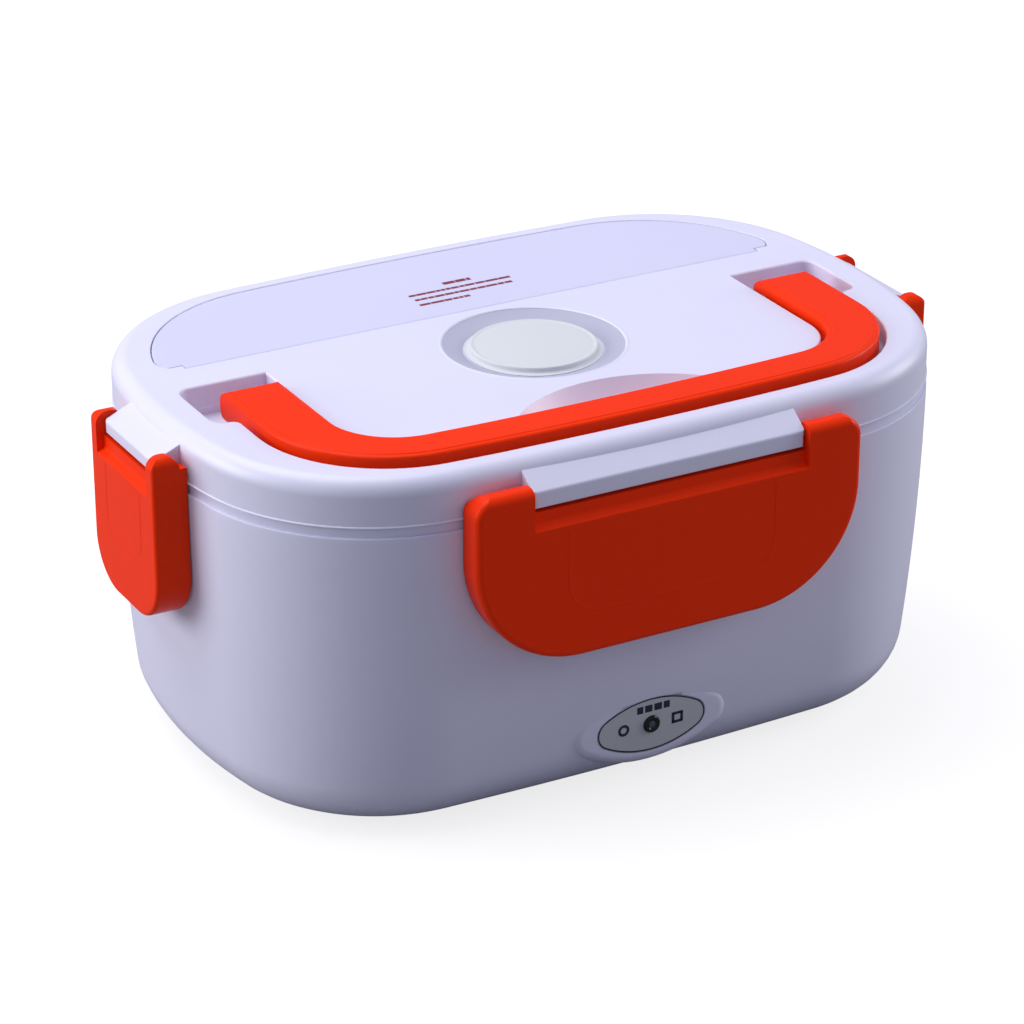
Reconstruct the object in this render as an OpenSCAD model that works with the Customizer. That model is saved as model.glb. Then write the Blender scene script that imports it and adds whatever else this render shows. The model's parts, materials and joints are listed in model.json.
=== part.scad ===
// Electric lunch box: a heated base with a removable food tray, and a lid that is held
// down by four snap clasps and carries a folding handle, a steam plug and a spoon box.
// Millimetres. X runs along the box, the front faces -Y, Z is up and 0 is the table.

/* [Body] */
// Length of the base and lid outline
body_l = 226; // [218:1:236]
// Width of the base and lid outline
body_w = 151.4; // [147:0.2:160]
// Plan radius of the four corners
corner_r = 54; // [50:1:58]
// Half angle of the arc that bows each end
end_bow = 11.3; // [9:0.1:14]
// Half angle of the arc that bows each long side
side_bow = 2.5; // [1.8:0.1:3.5]
// Height from the underside of the base to the lid seam
base_h = 92.8; // [88:0.2:104]
// Radius of the gentle curve that draws the wall in towards the bottom
wall_curve_r = 800; // [600:10:1200]
// Radius of the edge between wall and bottom
bottom_r = 16; // [12:0.5:18]
// Wall thickness of the outer shell
shell_wall = 2.4; // [1.8:0.1:3]
// Height of the rim band between shell and lid
band_h = 3; // [2.6:0.1:4]
// Height of the rubber feet below the shell
foot_h = 1.5; // [1:0.1:3]
// Radius of a rubber foot
foot_r = 6; // [4:0.5:7]

/* [Lid] */
// Height of the lid from the seam to its top face
lid_h = 13.2; // [12.8:0.1:16]
// Radius of the lid's top edge
lid_edge_r = 5; // [3:0.5:6]
// Wall thickness of the lid
lid_wall = 2.4; // [1.8:0.1:2.6]
// Wall thickness of the wells under the lid's top face
well_wall = 1.6; // [1:0.1:2]
// Thickness of the lid's inner panel
liner_t = 1.2; // [0.8:0.1:1.6]
// Radius of the countersunk ring around the steam plug
vent_ring_r = 25.7; // [22:0.1:27]
// Radius of the steam plug's disc
vent_disc_r = 18.9; // [16:0.1:20]
// Radius of the steam hole
vent_hole_r = 8; // [5:0.5:10]
// Distance from the middle of the lid forward to the steam hole
vent_front = 6.3; // [5:0.1:8]

/* [Spoon box] */
// Half length of the spoon box cover's outline
hatch_a = 101; // [97:0.5:103]
// Half width of the outline that the cover's curved back follows
hatch_b = 68; // [66:0.5:69]
// Plan radius of that outline's corners
hatch_r = 46; // [43:0.5:48]
// Straight front edge of the cover, behind the middle of the lid
hatch_front = 23; // [22:0.5:26]
// Radius of the cover's two front corners
hatch_corner_r = 7; // [5:0.5:9]
// Thickness of the cover
hatch_t = 2; // [1.6:0.1:2.2]
// Length of the spoon
spoon_l = 156; // [130:1:160]

/* [Handle] */
// Overall width of the carrying handle
handle_w = 185.2; // [176:0.2:186]
// Width of the handle's front bar, seen from above
handle_bar = 12.9; // [9:0.1:13]
// Width of the handle's two arms, seen from above
handle_arm = 16.8; // [12:0.1:17]
// Thickness of the handle
handle_t = 8.4; // [7:0.1:8.6]
// Distance from the middle of the lid to the handle's front edge
handle_reach = 66; // [60:0.1:66.5]
// Outer plan radius of the handle's corners
handle_corner_r = 36; // [31:1:38]
// Inner plan radius of the handle's corners
handle_inner_r = 19.4; // [16:0.2:22]
// Height of the handle above the lid's top face
handle_proud = 2.4; // [1.8:0.1:3]
// Diameter of the handle's pivot pins
handle_pin_d = 3; // [2:0.2:4]

/* [Clasps] */
// Width of the front and back clasps
long_clasp_w = 118; // [104:0.4:122]
// Width of the hinge bars of the front and back clasps
long_bar_w = 83.4; // [70:0.2:88]
// Width of the two end clasps
end_clasp_w = 41; // [38:0.5:48]
// Width of the hinge bars of the end clasps
end_bar_w = 32; // [24:0.5:33]
// Drop from the pins of the front and back clasps to their lower edge
long_drop = 48.5; // [40:0.5:52]
// Drop from the pins of the end clasps to their lower edge
end_drop = 46; // [40:0.5:52]
// Thickness of the front and back clasps at their pins
long_t = 6.5; // [6.2:0.1:7.5]
// Thickness of the end clasps at their pins
end_t = 8; // [7.4:0.1:9]
// Radius of the rounded top of the front and back clasps around the pin
long_ear_r = 2.6; // [2.4:0.1:2.8]
// Radius of the rounded top of the end clasps around the pin
end_ear_r = 3.6; // [3.2:0.1:3.8]
// Extra distance of the end clasps' pins from the wall
end_stand = 0.7; // [0.4:0.1:1]
// Lower corner radius of the front and back clasps
long_corner_r = 32; // [24:1:38]
// Lower corner radius of the end clasps
end_corner_r = 14; // [8:0.5:16]
// Diameter of the clasp pins
clasp_pin_d = 2.4; // [2:0.1:3]
// Depth of the clasp pins below the lid's top face
pin_depth = 8.1; // [7.9:0.1:8.6]
// Distance that the catch beads stand out of the shell
bead_out = 2.3; // [1.5:0.1:2.6]

/* [Inside] */
// Inset of the heating chamber's wall at its top
chamber_inset = 7; // [6.5:0.1:8]
// Extra inset of the chamber's wall at its foot
chamber_draft = 4.6; // [3:0.1:6]
// Wall thickness of the chamber
chamber_wall = 2; // [1.5:0.1:2.4]
// Height of the chamber's floor above the underside of the base
chamber_floor = 21.5; // [21:0.1:24]
// Bottom edge radius of the chamber
chamber_r = 14; // [10:0.5:14]
// Wall thickness of the food tray
tray_wall = 1.4; // [1:0.1:1.8]
// Radius of the heating plate
plate_r = 40; // [38:0.5:42]
// Thickness of the heating plate
plate_t = 1.5; // [1:0.1:2]
// Length of the heating element
heater_l = 60; // [50:1:60]
// Width of the heating element
heater_w = 22; // [18:1:24]
// Thickness of the heating element
heater_t = 5; // [4:0.5:5.5]
// Distance from the middle to the front wall of the side dish box
dish_x = 37; // [34:1:38]
// Length of the side dish box
dish_l = 46; // [42:1:46]
// Width of the side dish box
dish_w = 80; // [70:1:80]
// Height of the side dish box
dish_h = 52; // [40:1:56]

/* [Lamp and inlet] */
// Half length of the lamp label
label_a = 17; // [14:0.5:19]
// Half height of the lamp label
label_b = 8; // [7:0.2:9]
// Height of the label's centre above the underside of the base
label_up = 17.4; // [16:0.2:20]
// Radius of the lamp lens
lens_r = 2.5; // [1.5:0.1:3]
// Height of the power inlet's centre above the underside of the base
inlet_up = 15; // [14:0.2:15.6]
// Spacing of the inlet's two pins
inlet_pitch = 8.6; // [8:0.1:9]
// Diameter of an inlet pin
inlet_pin_d = 2.36; // [2:0.02:2.6]

/* [Hidden] */
$fn = 64;

// Steps that each corner, end and side arc of the outline takes in a lofted shell
CORNER_STEPS = 10;
END_STEPS = 6;
SIDE_STEPS = 6;
EDGE_STEPS = 4;

// Clearances
seam = 0.3;          // between lid and rim band
slip = 0.3;          // around pieces that lift out or swing
run = 0.05;          // radial clearance of a pin in the piece that turns on it
shut = 0.1;          // between pieces of one body that are laid on each other
cut = 1;             // how far a cutting solid runs past the face it cuts

// Heights
z_base = foot_h;
z_seam = z_base + base_h;
z_top = z_seam + lid_h;
z_band = z_seam - band_h;
z_floor = z_base + chamber_floor;
z_under = z_top - lid_wall;

// Arcs of the plan outline: half length, half width, corner radius
body_a = body_l / 2;
body_b = body_w / 2;
BODY = [body_a, body_b, corner_r];
HATCH = [hatch_a, hatch_b, hatch_r];

// An outline o is made of an end arc, a side arc and a corner arc that meet in tangents.
// gap_e and gap_s are how far the end and side radii are longer than the corner radius.
bow_det = (1 - cos(end_bow)) * (1 - cos(side_bow)) - sin(end_bow) * sin(side_bow);
function gap_e(o) = ((o[0] - o[2]) * (1 - cos(side_bow)) - (o[1] - o[2]) * sin(side_bow)) / bow_det;
function gap_s(o) = ((o[1] - o[2]) * (1 - cos(end_bow)) - (o[0] - o[2]) * sin(end_bow)) / bow_det;
function centre_x(o) = gap_s(o) * sin(side_bow);
function centre_y(o) = gap_e(o) * sin(end_bow);
function inset(o, d) = [o[0] - d, o[1] - d, o[2] - d];

// Plan shape of an outline, drawn inwards by d
module oval(o, d = 0) {
    re = o[2] + gap_e(o) - d;
    rs = o[2] + gap_s(o) - d;
    for (sx = [-1, 1], sy = [-1, 1])
        translate([sx * centre_x(o), sy * centre_y(o)])
            circle(o[2] - d);
    intersection() {
        translate([o[0] - d - re, 0])
            circle(re, $fn = 180);
        translate([re - o[0] + d, 0])
            circle(re, $fn = 180);
        square([2 * o[0], 2 * re * sin(end_bow)], center = true);
    }
    intersection() {
        translate([0, o[1] - d - rs])
            circle(rs, $fn = 720);
        translate([0, rs - o[1] + d])
            circle(rs, $fn = 720);
        square([2 * rs * sin(side_bow), 2 * o[1]], center = true);
    }
}

// Directions in which the outline is sampled: one quarter, then all the way round
quarter = concat(
    [for (i = [0:END_STEPS / 2 - 1]) end_bow * i / (END_STEPS / 2)],
    [for (i = [0:CORNER_STEPS - 1]) end_bow + (90 - end_bow - side_bow) * i / CORNER_STEPS],
    [for (i = [0:SIDE_STEPS / 2]) 90 - side_bow + side_bow * i / (SIDE_STEPS / 2)]
);
half = concat(quarter, [for (i = [len(quarter) - 2:-1:1]) 180 - quarter[i]]);
around = concat(half, [for (t = half) t + 180]);

// Point of outline o, drawn inwards by d, whose outward direction is t
function arc_centre(o, t) =
    abs(cos(t)) >= cos(end_bow) - 0.00001 ? [sign(cos(t)) * (o[0] - o[2] - gap_e(o)), 0]
    : abs(sin(t)) >= cos(side_bow) - 0.00001 ? [0, sign(sin(t)) * (o[1] - o[2] - gap_s(o))]
    : [sign(cos(t)) * centre_x(o), sign(sin(t)) * centre_y(o)];
function arc_radius(o, t) =
    abs(cos(t)) >= cos(end_bow) - 0.00001 ? o[2] + gap_e(o)
    : abs(sin(t)) >= cos(side_bow) - 0.00001 ? o[2] + gap_s(o)
    : o[2];
function oval_point(o, d, t) = arc_centre(o, t) + (arc_radius(o, t) - d) * [cos(t), sin(t)];

// Solid whose wall section is a list of [inset, height] swept round the body's outline.
// A closed section makes a ring, an open one is capped at its first and last step.
module loft(section, closed = false) {
    n = len(around);
    m = len(section);
    points = [for (p = section, t = around) concat(oval_point(BODY, p[0], t), p[1])];
    strips = [
        for (j = [0:m - (closed ? 1 : 2)], i = [0:n - 1])
            let (k = (i + 1) % n, l = (j + 1) % m)
            [j * n + i, l * n + i, l * n + k, j * n + k]
    ];
    caps = closed ? [] : [
        [for (i = [0:n - 1]) i],
        [for (i = [n - 1:-1:0]) (m - 1) * n + i]
    ];
    polyhedron(points, concat(strips, caps), convexity = 6);
}

// Points of an arc in a wall section, as [inset, height]
function bend(c, r, from, to, steps = EDGE_STEPS) =
    [for (i = [0:steps]) c + r * [cos(from + (to - from) * i / steps), sin(from + (to - from) * i / steps)]];

// The wall's curve: vertical at the seam, drawn in towards the bottom
function wall_in(z) = wall_curve_r - sqrt(pow(wall_curve_r, 2) - pow(z_seam - z, 2));
// Centre of the bottom edge, inside the wall's curve
edge_z = z_base + bottom_r;
edge_in = wall_curve_r - sqrt(pow(wall_curve_r - bottom_r, 2) - pow(z_seam - edge_z, 2));
edge_turn = asin((z_seam - edge_z) / (wall_curve_r - bottom_r));

// Tube of 8 sides along a path, for the leads
TUBE_SIDES = 8;
LEAD_STEPS = 4;
function unit(v) = v / norm(v);
function mid(a, b) = (a + b) / 2;
// Path through the middles of a list's spans, rounded at each inner point
function rounded(p) = concat(
    [p[0]],
    [for (i = [1:len(p) - 2], s = [0:LEAD_STEPS])
        let (a = mid(p[i - 1], p[i]), c = mid(p[i], p[i + 1]), u = s / LEAD_STEPS)
        (1 - u) * (1 - u) * a + 2 * u * (1 - u) * p[i] + u * u * c],
    [p[len(p) - 1]]
);
module lead(route, r) {
    path = [for (i = [0:len(rounded(route)) - 1])
        if (i == 0 || norm(rounded(route)[i] - rounded(route)[i - 1]) > 0.01) rounded(route)[i]];
    last = len(path) - 1;
    rings = [for (i = [0:last])
        let (
            d = unit(path[min(i + 1, last)] - path[max(i - 1, 0)]),
            side = unit(cross(d, abs(d[2]) < 0.9 ? [0, 0, 1] : [1, 0, 0])),
            up = cross(side, d)
        )
        [for (s = [0:TUBE_SIDES - 1])
            path[i] + r * (cos(s * 360 / TUBE_SIDES) * side + sin(s * 360 / TUBE_SIDES) * up)]];
    polyhedron(
        [for (ring = rings, p = ring) p],
        concat(
            [for (i = [0:last - 1], s = [0:TUBE_SIDES - 1])
                let (t = (s + 1) % TUBE_SIDES)
                [i * TUBE_SIDES + s, i * TUBE_SIDES + t, (i + 1) * TUBE_SIDES + t, (i + 1) * TUBE_SIDES + s]],
            [[for (s = [TUBE_SIDES - 1:-1:0]) s]],
            [[for (s = [0:TUBE_SIDES - 1]) last * TUBE_SIDES + s]]
        ),
        convexity = 4
    );
}

module mirrored() {
    children();
    mirror([1, 0, 0])
        children();
}

// ---- Base ----

// Catch beads under which the clasps hook
bead_top = z_top - pin_depth - 12;
bead_h = 2.5;
label_z = z_base + label_up;
inlet_z = z_base + inlet_up;
boss_face = body_b - wall_in(label_z) + 0.5;   // front of the label boss, from the middle
boss_side = 8;                                  // width of the boss beside the label or inlet
boss_rise = 4;                                  // and its height above and below the label
inlet_rise = 3.2;                               // or the inlet
label_t = 0.8;
lens_back = 4.2;                                // from the boss's face back to the lens's rear face
board_gap = 6.5;                                // from the boss's face back to the lamp board
inlet_l = 20;
inlet_h = 12;
inlet_deep = 14;
flange_l = 25;
flange_h = 15.4;
flange_t = 1.6;

// Bottom opening of the shell and the cover that closes it
cover_in = edge_in + 1;
cover_t = 1.6;
lip_in = cover_in + 6;
lip_t = 1.8;

post_x = 60;
post_y = 26;
post_r = 3.6;
screw_r = 1.45;
screw_head_r = 2.8;
foot_x = body_a - cover_in - foot_r - 12;
foot_y = body_b - cover_in - foot_r - 14;
peg_r = 2.4;

// Plan oval of four arcs, for the label: half length a, half height b. The end circles stand
// a hair out of the long arcs, so that the arcs cross cleanly.
module four_arc_oval(a, b) {
    r = b * 0.58;
    big = (a * a + b * b - 2 * a * r) / (2 * (b - r));
    join = (a - r) * big / (big - r);
    for (s = [-1, 1])
        translate([s * (a - r), 0])
            circle(r + 0.03);
    intersection() {
        translate([0, b - big])
            circle(big, $fn = 128);
        translate([0, big - b])
            circle(big, $fn = 128);
        square([2 * join, 2 * b], center = true);
    }
}

// Stands a plan shape upright: its height becomes Z, and it runs from y0 to y1
module upright(y0, y1) {
    translate([0, max(y0, y1), 0])
        rotate([90, 0, 0])
            linear_extrude(abs(y1 - y0))
                children();
}

shell_section = concat(
    [[cover_in, z_base]],
    bend([edge_in, edge_z], bottom_r, 270, 180 + edge_turn, 5),
    [for (i = [1:4]) let (z = edge_z + (z_band - 1.2 - edge_z) * i / 4) [wall_in(z), z]],
    [
        [0.1, z_band - 0.5], [0.6, z_band - shut], [shell_wall, z_band - shut],
        [shell_wall + 0.1, z_band - 4]
    ],
    [for (i = [3:-1:1]) let (z = edge_z + (z_band - edge_z) * i / 4) [wall_in(z) + shell_wall, z]],
    bend([edge_in, edge_z], bottom_r - shell_wall, 180 + edge_turn, 256, 4),
    [
        [lip_in - 2, z_base + cover_t + lip_t],
        [lip_in, z_base + cover_t + lip_t], [lip_in, z_base + cover_t + shut],
        [cover_in, z_base + cover_t + shut]
    ]
);

module outer_shell() {
    color("white")
        difference() {
            union() {
                loft(shell_section, closed = true);
                label_boss();
                mirror([0, 1, 0])
                    inlet_boss();
                catch_beads();
            }
            translate([0, 0, label_z]) {
                upright(-boss_face - cut, -boss_face + label_t + shut)
                    four_arc_oval(label_a + shut, label_b + shut);
                upright(-boss_face - cut, -boss_face + 20)
                    circle(lens_r + shut);
            }
            translate([0, 0, inlet_z]) {
                upright(boss_face + cut, boss_face - flange_t - shut)
                    square([flange_l + 2 * shut, flange_h + 2 * shut], center = true);
                upright(boss_face + cut, boss_face - inlet_deep)
                    square([inlet_l + 2 * shut, inlet_h + 2 * shut], center = true);
            }
        }
}

// Swelling of the front wall that carries the lamp label, with two posts for its board
module label_boss() {
    difference() {
        translate([0, 0, label_z])
            upright(-boss_face, -boss_face + 7)
                four_arc_oval(label_a + boss_side, label_b + boss_rise);
        boss_core(label_z);
    }
    for (s = [-1, 1])
        translate([s * 6.5, 0, label_z])
            upright(-boss_face + 2, -boss_face + board_gap)
                circle(1.6);
}

// Hollow behind a boss, so that the wall stays thin
module boss_core(z) {
    translate([0, 0, z])
        upright(-boss_face + shell_wall, -boss_face + 12)
            four_arc_oval(label_a + 3, label_b + 0.5);
}

module inlet_boss() {
    difference() {
        translate([0, 0, inlet_z])
            upright(-boss_face, -boss_face + 7)
                four_arc_oval(label_a + boss_side, label_b + inlet_rise);
        boss_core(inlet_z);
    }
}

module catch_beads() {
    bead_long = long_bar_w - 8;
    bead_end = end_bar_w - 8;
    for (s = [-1, 1]) {
        translate([-bead_long / 2, s > 0 ? body_b - 2 : -body_b - bead_out, bead_top - bead_h])
            cube([bead_long, bead_out + 2, bead_h]);
        translate([s > 0 ? body_a - 1.4 : -body_a - bead_out, -bead_end / 2, bead_top - bead_h])
            cube([bead_out + 1.4, bead_end, bead_h]);
    }
}

// Heating chamber: a basin that hangs by its rim band on the outer shell
ledge_in = 5;
ledge_z = z_seam - 2.6;
foot_in = chamber_inset + chamber_draft;
chamber_bend = z_floor - chamber_wall + chamber_r;
chamber_turn = [260, 185];                      // directions of the chamber's bend, bottom to wall
chamber_section = concat(
    [[foot_in + chamber_r, z_floor - chamber_wall]],
    bend([foot_in + chamber_r, chamber_bend], chamber_r, chamber_turn[0], chamber_turn[1]),
    [
        [chamber_inset, ledge_z - 2.2], [shell_wall + 0.3, ledge_z - 2.2],
        [shell_wall + 0.3, z_band], [0.1, z_band], [0.1, z_seam - 1],
        [0.3, z_seam - 0.5], [0.8, z_seam - seam], [ledge_in, z_seam - seam], [ledge_in, ledge_z],
        [chamber_inset + chamber_wall, ledge_z]
    ],
    bend([foot_in + chamber_r, chamber_bend], chamber_r - chamber_wall, chamber_turn[1], chamber_turn[0]),
    [[foot_in + chamber_r, z_floor]]
);
plate_seat_r = plate_r - 4;

module inner_chamber() {
    color("white")
        difference() {
            union() {
                loft(chamber_section);
                cover_posts();
            }
            translate([0, 0, z_floor - chamber_wall - cut])
                cylinder(r = plate_seat_r, h = chamber_wall + 2 * cut);
            for_posts()
                translate([0, 0, z_base + cover_t - cut])
                    cylinder(r = screw_r - shut, h = 11 + cut, $fn = 32);
        }
}

module for_posts() {
    for (sx = [-1, 1], sy = [-1, 1])
        translate([sx * post_x, sy * post_y, 0])
            children();
}

module cover_posts() {
    for_posts()
        translate([0, 0, z_base + cover_t])
            cylinder(r = post_r, h = z_floor - chamber_wall / 2 - z_base - cover_t);
}

module bottom_cover() {
    color("white")
        translate([0, 0, z_base])
            difference() {
                linear_extrude(cover_t)
                    oval(BODY, cover_in + slip);
                for_posts() {
                    translate([0, 0, -cut])
                        cylinder(r = screw_r + shut, h = cover_t + 2 * cut, $fn = 32);
                    translate([0, 0, -cut])
                        cylinder(r = screw_head_r + shut, h = 0.9 + cut, $fn = 32);
                }
                for_feet()
                    translate([0, 0, -cut])
                        cylinder(r = peg_r, h = cover_t + 2 * cut, $fn = 32);
            }
}

module for_feet() {
    for (sx = [-1, 1], sy = [-1, 1])
        translate([sx * foot_x, sy * foot_y, 0])
            children();
}

module rubber_feet() {
    color("dimgray")
        for_feet() {
            cylinder(r = foot_r, h = foot_h);
            cylinder(r = peg_r, h = foot_h + cover_t + 0.8, $fn = 32);
        }
}

module cover_screws() {
    color("silver")
        for_posts() {
            translate([0, 0, z_base + 0.1])
                cylinder(r = screw_head_r, h = 0.8, $fn = 32);
            translate([0, 0, z_base + 0.1])
                cylinder(r = screw_r - shut, h = 9, $fn = 32);
        }
}

// ---- Heater ----

boss_drop = 4.5;                                // depth of the plate's boss below the chamber floor
heater_top = z_floor - boss_drop;
strap_w = 10;
clamp_bore_r = 1.25;
clamp_bore_deep = 3.4;
strap_t = 1.2;
pad_t = 1;
strap_x = heater_l / 2 - 12;
strap_foot_y = heater_w / 2 + strap_t + 5;
strap_past = 4;                                 // from the screw to the end of a strap's foot

module heating_plate() {
    color("silver")
        difference() {
            union() {
                translate([0, 0, z_floor])
                    cylinder(r = plate_r, h = plate_t);
                translate([0, 0, heater_top])
                    cylinder(r = plate_seat_r - shut, h = boss_drop);
            }
            for_clamp_screws()
                translate([0, 0, heater_top - cut])
                    cylinder(r = clamp_bore_r, h = clamp_bore_deep + cut, $fn = 32);
        }
}

module ptc_heater() {
    color("gainsboro")
        translate([-heater_l / 2, -heater_w / 2, heater_top - heater_t])
            cube([heater_l, heater_w, heater_t]);
}

module mica_pads() {
    color("tan")
        for (s = [-1, 1])
            translate([s * strap_x - strap_w / 2 - 1, -heater_w / 2, heater_top - heater_t - pad_t])
                cube([strap_w + 2, heater_w, pad_t]);
}

module for_clamp_screws() {
    for (sx = [-1, 1], sy = [-1, 1])
        translate([sx * strap_x, sy * strap_foot_y, 0])
            children();
}

// Two folded straps that hold the element against the plate
module heater_clamps() {
    low = heater_top - heater_t - pad_t - strap_t;
    side = heater_w / 2;
    foot_end = strap_foot_y + strap_past;
    color("lightgray")
        difference() {
            for (s = [-1, 1])
                translate([s * strap_x + strap_w / 2, 0, 0])
                    rotate([90, 0, -90])
                        linear_extrude(strap_w) {
                            translate([-side - strap_t, low])
                                square([2 * (side + strap_t), strap_t]);
                            for (m = [0, 1])
                                mirror([m, 0]) {
                                    translate([side, low])
                                        square([strap_t, heater_top - low]);
                                    translate([side, heater_top - strap_t])
                                        square([foot_end - side, strap_t]);
                                }
                        }
            for_clamp_screws()
                translate([0, 0, low])
                    cylinder(r = 1.4, h = heater_top - low + cut, $fn = 32);
        }
}

module clamp_screws() {
    color("silver")
        for_clamp_screws() {
            translate([0, 0, heater_top - strap_t - 1.8])
                cylinder(r = 2.5, h = 1.8, $fn = 32);
            translate([0, 0, heater_top - strap_t - 1])
                cylinder(r = 1.25, h = strap_t + 4, $fn = 32);
        }
}

cutoff_r = 2.2;
cutoff_l = 14;
cutoff_y = plate_seat_r - 8;
cutoff_z = heater_top - cutoff_r;

module thermal_cutoff() {
    color("khaki")
        translate([-cutoff_l / 2, cutoff_y, cutoff_z])
            rotate([0, 90, 0])
                cylinder(r = cutoff_r, h = cutoff_l, $fn = 32);
}

// ---- Inlet, lamp and leads ----

cavity_r = 4.4;
cavity_deep = 10;

module power_inlet() {
    color("black")
        translate([0, 0, inlet_z])
            difference() {
                union() {
                    upright(boss_face, boss_face - flange_t)
                        square([flange_l, flange_h], center = true);
                    upright(boss_face - 1, boss_face - inlet_deep)
                        square([inlet_l, inlet_h], center = true);
                }
                upright(boss_face + cut, boss_face - cavity_deep) {
                    for (s = [-1, 1])
                        translate([s * inlet_pitch / 2, 0])
                            circle(cavity_r);
                    square([inlet_pitch, 2 * cavity_r * 0.82], center = true);
                }
                for (s = [-1, 1])
                    translate([s * inlet_pitch / 2, 0, 0])
                        upright(boss_face, boss_face - inlet_deep - cut)
                            circle(inlet_pin_d / 2);
            }
}

module inlet_pins() {
    color("goldenrod")
        for (s = [-1, 1])
            translate([s * inlet_pitch / 2, 0, inlet_z])
                upright(boss_face - 1.5, boss_face - inlet_deep - 3)
                    circle(inlet_pin_d / 2);
}

lead_r = 1.1;
thin_lead_r = 0.6;
pin_end_y = boss_face - inlet_deep - 3;
heater_z = heater_top - heater_t / 2;
board_y = -boss_face + board_gap;
board_t = 1.6;

module heater_leads() {
    x = inlet_pitch / 2;
    color("crimson") {
        lead([
            [x, pin_end_y, inlet_z], [x, pin_end_y - 6, inlet_z], [18, 46, 9],
            [42, 30, 8], [44, 3, 9], [40, 3, heater_z], [heater_l / 2, 3, heater_z]
        ], lead_r);
        lead([
            [-x, pin_end_y, inlet_z], [-x, pin_end_y - 6, inlet_z], [-3, 44, 9], [16, 38, 9],
            [24, cutoff_y, cutoff_z], [cutoff_l / 2 + 8, cutoff_y, cutoff_z],
            [cutoff_l / 2, cutoff_y, cutoff_z]
        ], lead_r);
        lead([
            [-cutoff_l / 2, cutoff_y, cutoff_z], [-cutoff_l / 2 - 8, cutoff_y, cutoff_z],
            [-24, cutoff_y, cutoff_z - 1], [-40, 24, 9], [-44, 3, 9], [-40, 3, heater_z], [-heater_l / 2, 3, heater_z]
        ], lead_r);
    }
}

module lamp_leads() {
    color("darkorange")
        for (s = [-1, 1])
            lead([
                [s * 3, board_y + board_t, label_z - 3], [s * 3, board_y + board_t + 6, label_z - 3],
                [s * 10, -46, 8], [s * 40, -30, 8], [s * 42, -5, 10], [s * 38, -4, heater_z],
                [s * heater_l / 2, -4, heater_z]
            ], thin_lead_r);
}

module lamp_board() {
    color("seagreen")
        translate([-9, board_y, label_z - 5])
            cube([18, board_t, 9]);
}

led_r = 1.5;

module lamp_led() {
    color("whitesmoke")
        translate([0, 0, label_z]) {
            upright(-boss_face + lens_back + 0.2, board_y)
                circle(led_r);
            upright(board_y - 0.6, board_y)
                circle(led_r + 0.5);
        }
}

module lamp_lens() {
    color("darkslategray")
        translate([0, 0, label_z]) {
            upright(-boss_face - 0.6, -boss_face + lens_back)
                circle(lens_r);
            upright(-boss_face + lens_back - 0.7, -boss_face + lens_back)
                circle(lens_r + 1);
        }
}

module lamp_label() {
    color("silver")
        translate([0, 0, label_z])
            upright(-boss_face, -boss_face + label_t)
                difference() {
                    four_arc_oval(label_a, label_b);
                    circle(lens_r + shut);
                }
}

// ---- Food tray and side dish ----

tray_in = chamber_inset + chamber_wall + 0.6;
tray_foot_in = foot_in + chamber_wall + 0.8;
tray_r = chamber_r - chamber_wall - 0.8;
tray_floor = z_floor + plate_t + shut;
tray_bend = tray_floor + tray_r;
rim_z = ledge_z + shut;
rim_t = 1.5;

tray_turn = [262, 184];                         // directions of the tray's bend, bottom to wall

tray_section = concat(
    [[tray_foot_in + tray_r, tray_floor]],
    bend([tray_foot_in + tray_r, tray_bend], tray_r, tray_turn[0], tray_turn[1]),
    [
        [tray_in + 0.3, rim_z], [ledge_in + slip, rim_z], [ledge_in + slip, rim_z + rim_t - 0.4],
        [ledge_in + slip + 0.4, rim_z + rim_t], [tray_in + tray_wall, rim_z + rim_t],
        [tray_in + tray_wall + 0.6, rim_z + rim_t - 0.8]
    ],
    bend([tray_foot_in + tray_r, tray_bend], tray_r - tray_wall, tray_turn[1], tray_turn[0]),
    [[tray_foot_in + tray_r, tray_floor + tray_wall]]
);

module food_tray() {
    color("whitesmoke")
        loft(tray_section);
}

dish_corner_r = 14;
dish_wall = 1.4;
dish_floor = tray_floor + tray_wall + shut;

module dish_outline(d = 0) {
    l = dish_l - 2 * d;
    w = dish_w - 2 * d;
    r = dish_corner_r - d;
    translate([dish_x + dish_l / 2, 0]) {
        square([l - 2 * r, w], center = true);
        square([l, w - 2 * r], center = true);
        for (sx = [-1, 1], sy = [-1, 1])
            translate([sx * (l / 2 - r), sy * (w / 2 - r)])
                circle(r);
    }
}

module side_dish_box() {
    color("white")
        translate([0, 0, dish_floor])
            difference() {
                linear_extrude(dish_h)
                    dish_outline(1);
                translate([0, 0, dish_wall])
                    linear_extrude(dish_h)
                        dish_outline(1 + dish_wall);
            }
}

module side_dish_lid() {
    skirt = 5;
    color("orangered")
        translate([0, 0, dish_floor + dish_h - skirt])
            difference() {
                linear_extrude(skirt + 1.2)
                    dish_outline(-0.1);
                translate([0, 0, -cut])
                    linear_extrude(skirt + cut)
                        dish_outline(0.9);
            }
}

// ---- Lid ----

// U-shaped plan of the handle or its groove: half width, front edge, corner radius, back edge
front_bow_r = 1250;
module u_plan(hx, front, r, back) {
    big = front_bow_r - r;
    cx = hx - r;
    cy = (front_bow_r - front) - sqrt(big * big - cx * cx);
    join = cx * front_bow_r / big;
    translate([-hx, cy])
        square([2 * hx, back - cy]);
    for (s = [-1, 1])
        translate([s * cx, cy])
            circle(r);
    intersection() {
        translate([0, front_bow_r - front])
            circle(front_bow_r, $fn = 720);
        translate([-join, -2 * front])
            square([2 * join, 2 * front + back]);
    }
}

handle_hx = handle_w / 2;
handle_top = z_top + handle_proud;
handle_low = handle_top - handle_t;
pivot_y = -4.5;
pivot_z = handle_low + 3.4;
handle_back = pivot_y + 4.5;

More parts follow.
